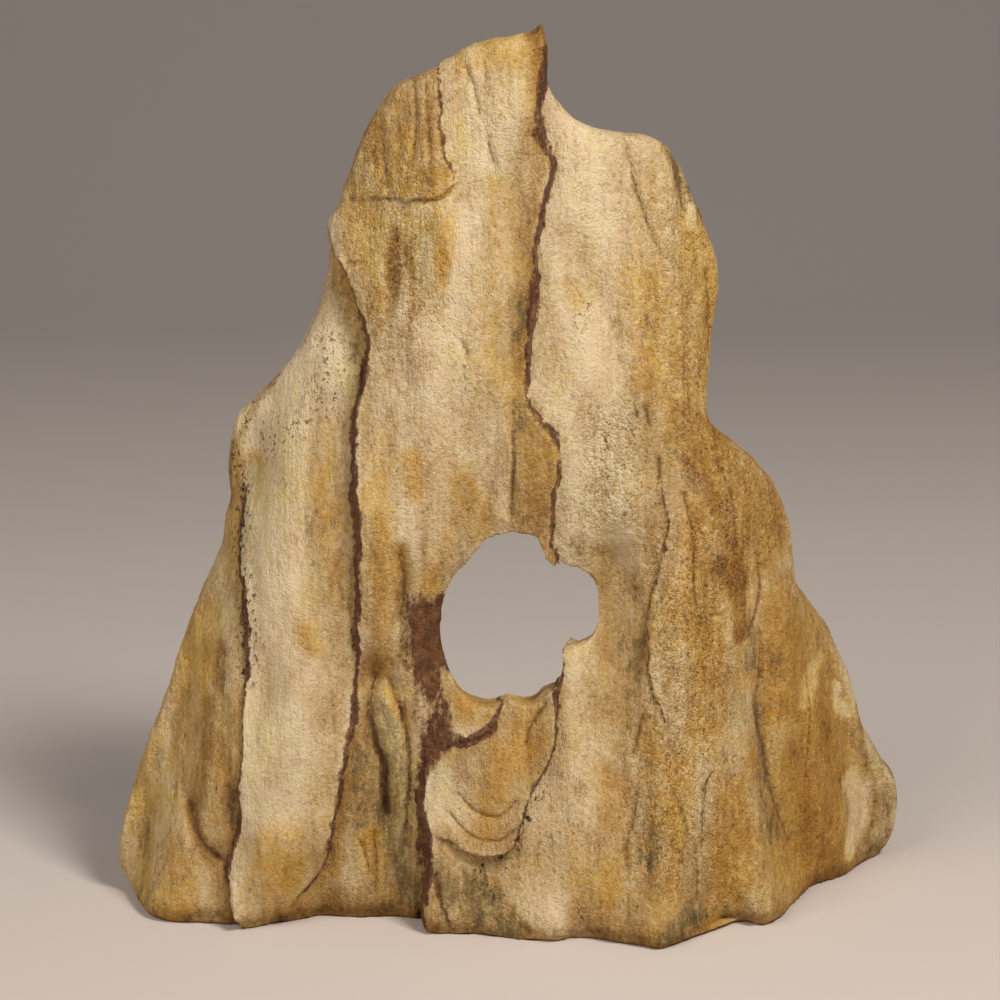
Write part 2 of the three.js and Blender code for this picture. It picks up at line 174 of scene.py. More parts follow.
def keep_values(mesh, name, values):
    """Stores one number for each vertex under a name that nodes can read."""
    layer = mesh.attributes.get(name) or mesh.attributes.new(name, "FLOAT", "POINT")
    layer.data.foreach_set("value", np.asarray(values, np.float32))


def step(low, high, values):
    """0 below low, 1 above high, and smooth between."""
    t = np.clip((values - low) / (high - low), 0, 1)
    return t * t * (3 - 2 * t)


def smooth_line(points, spacing=1.5):
    """Points in millimetres along a smooth line through those given, as x and z in turn."""
    given = np.array(points, float).reshape(-1, 2)
    ends = np.vstack([2 * given[0] - given[1], given, 2 * given[-1] - given[-2]])
    walked = []
    for a, b, c, d in zip(ends, ends[1:], ends[2:], ends[3:]):
        count = max(1, round(math.dist(b, c) / spacing))
        t = np.arange(count)[:, None] / count
        walked.append(0.5 * (2 * b + (c - a) * t + (2 * a - 5 * b + 4 * c - d) * t ** 2
                             + (3 * b - a - 3 * c + d) * t ** 3))
    return np.vstack(walked + [given[-1:]])


def nearest(points, line, reach):
    """For points [x, z] near a line: how far off it, on which side (1 is right, going down), and the
    share of the way down. Points beyond the reach stay at that distance."""
    off = np.full(len(points), float(reach))
    side = np.ones(len(points))
    share = np.zeros(len(points))
    low, high = line.min(0) - reach, line.max(0) + reach
    near = np.flatnonzero(((points > low) & (points < high)).all(1))
    found = points[near]
    for i in range(len(line) - 1):
        a = line[i]
        along = line[i + 1] - a
        t = np.clip((found - a) @ along / max(along @ along, 1e-9), 0, 1)
        gap = found - a - t[:, None] * along
        distance = np.hypot(gap[:, 0], gap[:, 1])
        closer = distance < off[near]
        rows = near[closer]
        off[rows] = distance[closer]
        side[rows] = np.where(along[0] * gap[closer, 1] - along[1] * gap[closer, 0] >= 0, 1, -1)
        share[rows] = (i + t[closer]) / (len(line) - 1)
    return off, side, share


def even_value(values, share):
    """A reading of values that are spread evenly over 0 to 1."""
    return np.interp(share, np.linspace(0, 1, len(values)), values)


stone_mesh = SOLID.data.copy()
cleaner = bmesh.new()
cleaner.from_mesh(stone_mesh)
bmesh.ops.remove_doubles(cleaner, verts=cleaner.verts, dist=0.01 * MM)
cleaner.to_mesh(stone_mesh)
cleaner.free()
stone = bpy.data.objects.new("stone", stone_mesh)
bpy.context.scene.collection.objects.link(stone)
remesh = stone.modifiers.new("fine", "REMESH")
remesh.mode = "VOXEL"
remesh.voxel_size = VOXEL
remesh.use_smooth_shade = True
applied(stone)

# The drawing of the stone is counted in millimetres, with x from a line 13 mm left of its tip.
TIP_X = 13 * MM
tip = max((v.co for v in SOLID.data.vertices), key=lambda co: co.z)
DRAWING_X = tip.x - TIP_X


def drawing(places):
    """[x, z] of places on the stone, in the drawing's millimetres."""
    return (places[:, [0, 2]] - (DRAWING_X, 0)) / MM


def brushed(points, line, halves, soft=0.65):
    """How strongly a brush stroke down a line, with halves of its width, covers [x, z]."""
    halves = np.atleast_1d(halves)
    off, _, share = nearest(points, smooth_line(line, 3), 1.7 * halves.max())
    half = even_value(halves, share)
    return 1 - step((1 - soft) * half, (1 + soft) * half, off)


def paint(values, points, line, halves, level, strength=90, soft=65):
    """Paints one stroke over values. Its level, strength and softness of edge are in hundredths."""
    values += (level / 100 - values) * (strength / 100) * brushed(points, line, halves, soft / 100)


def painted(points, base, strokes):
    """A base level with strokes painted over it, one after the other."""
    values = np.full(len(points), float(base))
    for stroke in strokes:
        paint(values, points, *stroke)
    return values


def facing_front(normals):
    """1 on the front face and the rims, 0 on the back face."""
    return 1 - step(0.2, 0.65, normals[:, 1])


# Rougher and calmer ground. The weathered ochre layers stand in fine ridges and scales, while the
# cream layers, the tongue and the scoop right of the hole have a closed, sanded skin.
# A stroke is a line, as x and z in turn, half its width, and in hundredths its level and how
# strongly it covers, which is 90 where it isn't said.
ROUGHNESS = [
    ([-71, 242, -97, 211, -88, 150, -88, 90, -92, 40], 16, 40, 100),
    ([-15, 320, -20, 270, -30, 220, -33, 170], 14, 45, 100),
    ([22, 330, 30, 287, 28, 237, 34, 181], 14, 35, 100),
    ([44, 158, 46, 133, 45, 113, 42, 95], 10, 15, 100),
    ([33, 105, 33, 80, 22, 56, 16, 10], 13, 40, 100),
    ([-7, 88, 5, 80, 3, 59, -15, 48], 12, 45, 100),
    ([-80, 12, -60, 10, -42, 12], 8, 30, 100),
]
# Ribs, above 0, and hollows, below it, where no bed ends: a line, half its width and its height, in
# millimetres.
FOLDS = [
    ([6, 322, 5, 300, 6, 280, 7, 262, 5, 245, 3, 228], 4, -1.8),
    ([-38, 110, -36, 92, -37, 75, -38, 58, -38, 44], 3.4, 2.6),
    ([-49, 94, -47, 80, -46, 62, -46, 42, -45, 28], 3.4, 1.6),
    ([-52, 108, -55, 96, -56, 86, -54, 76, -51, 68, -50, 58, -50, 46], 2.6, -2),
    ([-48, 102, -45, 93, -42, 85, -41, 75, -40, 62, -41, 48], 2, -1.6),
    ([-59, 74, -58, 55, -57, 40, -57, 24], 3.2, 1.8),
    ([-79, 190, -80, 168, -79, 148, -75, 128, -70, 112], 3.4, -0.9),
    ([-71, 200, -72, 175, -71, 150, -67, 130], 3.5, 1.2),
    ([-92, 190, -92, 160, -90, 130], 7, 1),
    ([-94, 34, -90, 20], 11, 1.6),
    ([-46, 288, -45, 272, -46, 256], 2.4, -1.3),
    ([-39, 282, -38, 262, -38, 244], 1.8, -1),
    ([-33, 250, -33, 215, -35, 180, -36, 158], 5, 0.9),
    ([-42, 158, -42, 145, -43, 130], 2.6, -1.4),
    ([-12, 182, -10, 168], 6, -0.9),
    ([63, 313, 67, 305, 68, 297, 69, 289], 2, -2.2),
    ([79, 264, 80, 250, 80, 234], 1.8, -1.6),
    ([62, 226, 66, 236, 70, 248], 3.4, 1.4),
    ([71, 226, 73, 240], 3, -1),
    ([62, 300, 66, 270, 66, 250], 4, 0.9),
    ([126, 98, 124, 88, 121, 80], 4.5, -1.3),
    ([141, 88, 141, 78, 139, 68], 3, -1.2),
    ([149, 42, 150, 28, 147, 12], 4, -1.2),
    ([147, 78, 150, 60, 156, 42, 158, 24, 154, 8], 2, 1.8),
    ([93, 142, 94, 130, 95, 116], 3.5, -1.5),
    ([104, 104, 103, 80, 104, 60, 107, 45, 113, 28, 120, 12], 4.5, -2.6),
    ([112, 118, 111, 90, 113, 64], 4, 1.2),
    ([124, 110, 121, 70, 122, 40], 4, -0.8),
    ([132, 74, 130, 48, 132, 22], 6, 1.2),
    ([88, 60, 89, 42, 88, 18], 8, 1.6),
    ([-126, 90, -130, 64, -131, 50], 3.4, -1.6),
    ([-131, 50, -127, 38, -119, 28], 2.6, -2.2),
    ([-120, 62, -120, 48, -116, 36], 4, 1.4),
    ([-120, 110, -119, 96, -117, 84], 3, -1.4),
    ([-113, 58, -112, 44], 3.5, -1.4),
    ([-137, 60, -143, 36, -138, 14], 9, 1.4),
    ([47, 62, 48, 45, 46, 30], 2.4, -1.2),
    ([58, 60, 64, 50, 70, 40], 4.5, 1.1),
    ([12, 52, 18, 40, 20, 22, 14, 4], 7, 1.4),
    ([70, 140, 70, 110, 68, 84], 5, 0.8),
    ([82, 140, 82, 110, 82, 84], 3.5, -1),
    ([-12, 28, -7, 17, -1, 8], 3.4, -1.4),
    ([-26, 24, -24, 8], 3, 1),
]
places = vertex_values(stone.data, "co")
normals = vertex_values(stone.data, "vector")
front = facing_front(normals)
points = drawing(places)
rim = 1 - np.abs(normals[:, 1])
roughness = front * painted(points, 1.0, ROUGHNESS) + (1 - front)
keep_values(stone.data, "rough", roughness * (1 - 0.4 * rim))
for line, half, rise in FOLDS:
    places[:, 1] -= MM * rise * front * brushed(points, line, half)
stone.data.vertices.foreach_set("co", places.astype(np.float32).ravel())

sandstone = bpy.data.materials.new("sandstone")
weathered = stone.modifiers.new("weathered", "NODES")
weathered.node_group = weathering_tree()
set_input(weathered, "Material", sandstone)
applied(stone)

# The seams. Where one bed of the stone ends, its edge stands proud of the next as a small ragged
# ledge, stained dark brown by iron. They came with the split and were left as they were, and so were
# the open cracks beside them.

# Each line runs downwards, and lists of values are spread evenly down it. Rises above 0 put the right
# side proud over the width of the riser, halves are half the width of the dark stain, and left and
# right are the iron in the margin of each bed, in hundredths.
FRONT_SEAMS = [
    dict(line=[-73, 287, -70, 273, -67, 270, -63, 262, -57.5, 246, -56, 233, -59, 219, -61.5, 203, -61, 180,
               -60, 160, -60.5, 135, -61.5, 104, -63.5, 82, -68, 60, -72, 36, -77, 22, -87, 11],
         rises=[6, 7, 6.5, 6, 5.5, 5, 3.5, -3, -6, -6, -2], riser=2.6, halves=[0.3, 0.4, 0.5, 1.4, 1.2, 1.1,
         1.6, 2.1, 1.7, 1.7, 1.5, 1.3, 1.1, 1, 0.9, 0.7, 0.4],
         left=[50, 55, 40, 36, 40, 38, 40, 36, 30, 34, 42, 50], right=[30, 34, 45, 42, 36, 42, 46, 46, 52,
         58, 55, 60]),
    dict(line=[15, 354, 14, 342, 12, 331, 13.5, 320, 17, 309, 16, 300, 12.5, 290, 10.5, 278, 11.5, 264, 9.5,
               248, 8, 232, 7.5, 220, 13, 210, 19, 201, 20.5, 192, 18.5, 178, 17.5, 163, 19, 151],
         rises=[-8, -8, -7, -7, -7, -6.5, -6, -6, -7, -7, -6], riser=2.6, halves=[1.2, 1.9, 1.6, 1.3, 1.1,
         1.5, 1.3, 0.8, 1.7, 1.4, 1.1, 0.9, 1.3, 1.5, 1.2, 1.1, 0.9, 0.7],
         left=[75, 60, 50, 55, 52, 58, 68, 62, 64, 66, 62, 62], right=[40, 25, 10, 8, 8, 10, 6, 6, 8, 10,
         10, 16]),
    dict(line=[-107.5, 181, -107.5, 168, -110, 153, -107.5, 138, -106, 122, -106, 108, -107, 92, -107.5, 75,
               -109, 58, -108.5, 43, -114, 28, -112.5, 12, -110, 0],
         rises=[0, 2, 3, 3, 3, 3, 3, 4, 5], riser=1.8, halves=[0.3, 1.2, 0.7, 1.4, 1.6, 1.3, 0.4, 0.4, 0.6,
         1.2, 1, 0.5, 0.4],
         left=[60, 60, 50, 45, 50, 55, 60, 66, 72, 72, 62], right=[25, 12, 10, 14, 16, 20, 24, 26, 30, 32,
         40]),
    dict(line=[-27, 98, -31, 84, -34, 66, -35.5, 50, -33, 34, -33.5, 18, -35, 0],
         rises=[0, 3, 7, 11, 14, 16], riser=5, halves=[0.4, 0.8, 1.8, 1.9, 1.7, 2, 2.4, 1.6, 0.9, 0.8],
         left=[40, 45, 50, 50, 50, 50], right=[50, 40, 24, 30, 50, 50]),
    dict(line=[20.5, 119, 21.5, 108, 19.5, 95, 18.8, 82, 15, 70, 9, 60, 5, 47, 1, 36.5, -9, 33.2, -17, 35,
               -25, 39],
         rises=[-6, -6, -6.5, -7, -6.5, -6, -5, -3], riser=2.2, halves=[0.8, 1, 1.1, 0.8, 0.8, 0.7, 0.6,
         0.5, 0.4, 0.3, -0.2],
         left=[55, 50, 48, 45, 42, 42, 50], right=[44, 36, 26, 16, 16, 35, 40]),
    dict(line=[59, 191, 62, 178, 64, 164, 61, 152, 59, 143, 56, 132, 56, 115, 57, 101, 61, 94, 63, 86],
         rises=[0, 1.5, 2.5, 3, 3.5, 3.5, 3, 1.5, 0], riser=2, halves=[-0.2, 0.2, 0.3, 0.3, 0.3, 0.1, 0.3,
         0.4, 0.1],
         left=[40, 40, 42, 42, 40, 34], right=[50, 45, 40, 36, 40, 42]),
    dict(line=[112, 72, 101, 71, 90, 71, 82, 66, 78.5, 55, 78, 40, 76, 24, 76, 8],
         rises=[0, 1.5, 2.5, 2.5, 2, 2, 2], riser=2.4, halves=[-0.9, -0.3, 0.1, 0, -0.2, -0.2, -0.6],
         left=[45, 45, 40, 40, 45, 50], right=[55, 55, 55, 55, 55]),
    dict(line=[-28, 348, -26.5, 334, -26, 318, -25, 312, -21, 307, -22, 301, -28, 296.5, -45, 296, -66,
               295],
         rises=[-1.5, -2, -2, -2, -1.8, -1.5, -1], riser=1.6, halves=[0.5, 0.9, 0.5, 0.6, 0.2, -0.1, -0.4,
         -0.3, -0.6],
         left=[50, 55, 55, 55, 50, 45], right=[30, 20, 20, 25, 35, 40]),
    dict(line=[-3, 96, -5, 88, -9, 83, -15, 80, -22, 77, -29, 76],
         rises=[-1, -1.8, -1.8, -1.2, 0], riser=1.4, halves=[0.5, 1, 1.6, 1.9, 2.2, 1],
         left=[50, 40, 30, 30], right=[50, 50, 55, 50]),
]
BACK_SEAMS = [
    dict(line=[42, 320, 36, 285, 44, 250, 38, 215, 50, 180, 46, 150, 56, 110, 48, 70, 58, 30, 54, 0],
         rises=[5, 6, 6, 5, 5, 6, 7, 7], riser=3, halves=[0.4, 1.2, 1.6, 1.2, 0.9, 1.4, 1.8, 1.5, 1, 0.8],
         left=[20, 20, 30, 20], right=[60, 50, 60, 60]),
    dict(line=[-40, 340, -34, 300, -46, 255, -38, 205, -52, 160, -48, 110, -62, 60, -56, 0],
         rises=[-3, -5, -5, -6, -6, -5, -6, -6], riser=3, halves=[0.3, 0.8, 1.3, 1.7, 1.3, 1, 1.6, 1.2],
         left=[50, 60, 50, 60], right=[20, 25, 20, 35]),
    dict(line=[96, 184, 92, 150, 104, 110, 98, 70, 112, 30, 108, 0],
         rises=[0, 4, 5, 6, 6], riser=3, halves=[0, 0.6, 0.9, 1.2, 0.9, 0.6],
         left=[45, 40, 45], right=[60, 55, 60]),
]
# Open cracks and hairlines, only on the front: a line, and half the width of its groove.
CRACKS = [
    ([-16, 346, -13, 337, -11, 329], 0.3),
    ([-8, 320, -7, 314, -5, 308], 0.3),
    ([-50, 322, -49, 314, -48, 305, -47, 296], 0.45),
    ([-37, 343, -36, 325, -38, 308], 0.2),
    ([-32, 340, -31, 322, -30, 305], 0.2),
    ([46, 317, 48, 309, 50, 300, 53, 290, 57, 280, 59, 274], 0.45),
    ([2, 218, 2, 205, 2, 191, 1, 172], 0.5),
    ([-43, 156, -41.5, 147, -42, 138, -43, 130], 0.8),
    ([16, 98, 11, 90, 8, 84, 7, 78], 0.45),
    ([-18, 241, -16, 236], 0.3),
    ([-60, 34, -58, 26, -57, 20], 0.3),
    ([-54.5, 36, -54, 24, -54, 13], 0.35),
    ([-52, 108, -55, 96, -56, 86, -54, 76, -51, 68, -50, 58, -50, 48, -51, 41], 1.1),
    ([-48, 102, -45, 93, -42, 85, -41, 75, -40, 62, -41, 48, -41, 34], 0.9),
    ([-29, 25, -28, 19, -26, 12, -24, 5, -24, 1], 0.8),
    ([101, 149, 102.5, 138, 101, 126, 98, 117, 98, 109], 0.8),
    ([-130, 46, -127, 37, -121, 30, -116, 27], 1),
    ([63, 313, 67, 305, 68, 297, 69, 289], 0.9),
    ([79, 264, 80, 250, 80, 234], 0.5),
    ([50, 218, 51, 210], 0.5),
    ([54, 214, 56, 205], 0.4),
    ([38, 203, 40, 196], 0.4),
    ([60, 192, 60, 183], 0.3),
    ([52, 62, 50, 50, 47, 38, 48, 30], 0.25),
    ([66, 62, 70, 52, 72, 44], 0.35),
    ([54, 90, 52, 82, 50, 74], 0.3),
    ([-24, 50, -16, 42, -6, 40, 3, 46, 8, 56], 0.15),
    ([-20, 57, -13, 51, -4, 50, 3, 57], 0.1),
    ([70, 178, 74, 160, 74, 142, 77, 126], 0.2),
    ([86, 186, 91, 170, 92, 154], 0.2),
    ([124, 96, 126, 76, 124, 52], 0.15),
    ([131, 119, 134, 111, 137, 104], 0.7),
    ([103, 116, 103, 96, 101, 88, 104, 70, 108, 52, 113, 36, 117, 26], 0.7),
]
# How deep a crack is, how far its sides slope and how far from its line they end, in millimetres.
CRACK_DEPTH = 1.3
CRACK_SLOPE = 0.8
CRACK_REACH = 6
# Millimetres to each side of a seam: as far as its edge is sharpened, and from where that fades.
SEAM_REACH = 16
SEAM_FADE = (9, 15)
# Half the width over which the worn mesh blurs a ledge.
FACET_BLUR = 3.2
# The flat sole lies lower than SOLE. Its rim stands off the floor by the gap, which fades up to the
# reach, and goes as far inwards as a number of rounds of blurring.
SOLE = 1.5 * MM
FOOT_GAP = 1.7 * MM
FOOT_REACH = 9 * MM
RIM_ROUNDS = 14


def wander(points, size, seed):
    """Smooth noise from -1 to 1 at points, with swells of that size along x, y and z."""
    cells = 48
    lattice = np.random.default_rng(seed).uniform(-1, 1, (cells, cells, cells))
    place_in = points / np.asarray(size, float)
    low = np.floor(place_in).astype(int)
    t = place_in - low
    t = t * t * (3 - 2 * t)
    total = np.zeros(len(points))
    for corner in np.ndindex(2, 2, 2):
        index = (low + corner) % cells
        weight = np.prod(np.where(corner, t, 1 - t), axis=1)
        total += weight * lattice[index[:, 0], index[:, 1], index[:, 2]]
    return total


def layered(places, size, octaves, seed):
    """Smooth noise with swells of that size in millimetres, and finer and weaker ones laid over."""
    total = np.zeros(len(places))
    for octave in range(octaves):
        total += 0.6 ** octave * wander(places, np.array(size) * MM * 0.5 ** octave, seed + octave)
    return total


def ragged(places):
    """How far a seam strays from its drawn line, in millimetres, so that its edge looks broken."""
    return (0.9 * wander(places, (6 * MM, 30 * MM, 5 * MM), 11)
            + 0.7 * wander(places, (2.4 * MM, 20 * MM, 2.2 * MM), 12))


def seam_step(points, stray, seam):
    """How much a crisp seam differs in height from the blurred one that the mesh already has."""
    line = smooth_line(seam["line"])
    off, side, share = nearest(points, line, SEAM_REACH)
    rise = even_value(seam["rises"], share)
    inward = off * side * np.sign(rise)
    crisp = step(-0.5, 0.5, (inward + stray) / (0.55 * seam["riser"]))
    soft = 0.5 * (1 + np.tanh(1.15 * inward / FACET_BLUR))
    return np.abs(rise) * (crisp - soft) * (1 - step(*SEAM_FADE, off))


def neighbour_mean(mesh, values, rounds):
    """Values blurred over neighbouring vertices, a number of times."""
    ends = np.empty(len(mesh.edges) * 2, np.int32)
    mesh.edges.foreach_get("vertices", ends)
    one, other = ends[0::2], ends[1::2]
    count = np.bincount(ends, minlength=len(values))[:, None] + 1
    for _ in range(rounds):
        total = values.copy()
        for axis in range(values.shape[1]):
            total[:, axis] += np.bincount(one, values[other, axis], len(values))
            total[:, axis] += np.bincount(other, values[one, axis], len(values))
        values = total / count
    return values


def cut_seams(mesh):
    """Sharpens every seam of the mesh, opens the cracks and lifts the rim of the foot a little."""
    places = vertex_values(mesh, "co")
    normals = vertex_values(mesh, "vector")
    front = facing_front(normals)
    points = drawing(places)
    stray = ragged(places)
    lift = np.zeros(len(points))
    for seam in FRONT_SEAMS:
        lift -= front * seam_step(points, stray, seam)
    for seam in BACK_SEAMS:
        lift += (1 - front) * seam_step(points, stray, seam)
    for line, half in CRACKS:
        off, _, _ = nearest(points, smooth_line(line), CRACK_REACH)
        lift += front * CRACK_DEPTH * np.exp(-(((off + 0.4 * stray) / (half + CRACK_SLOPE)) ** 2))
    places[:, 1] += lift * MM
    under = (places[:, 2] < SOLE) & (normals[:, 2] < -0.5)
    places[under, 2] = 0
    places[:, 2] = np.maximum(places[:, 2], 0)
    near_rim = step(0.04, 0.4, neighbour_mean(mesh, (~under)[:, None].astype(float), RIM_ROUNDS)[:, 0])
    gap = FOOT_GAP * (1 + 0.7 * layered(places, (22, 22, 22), 2, 61))
    places[:, 2] += gap * near_rim * (1 - step(0, FOOT_REACH, places[:, 2]))
    mesh.vertices.foreach_set("co", places.astype(np.float32).ravel())
    mesh.update()


cut_seams(stone.data)
SKIN_TRIANGLES = 190_000
thinned = stone.modifiers.new("thinned", "DECIMATE")
thinned.ratio = SKIN_TRIANGLES / (2 * len(stone.data.polygons))
applied(stone)
stone.data.shade_smooth()
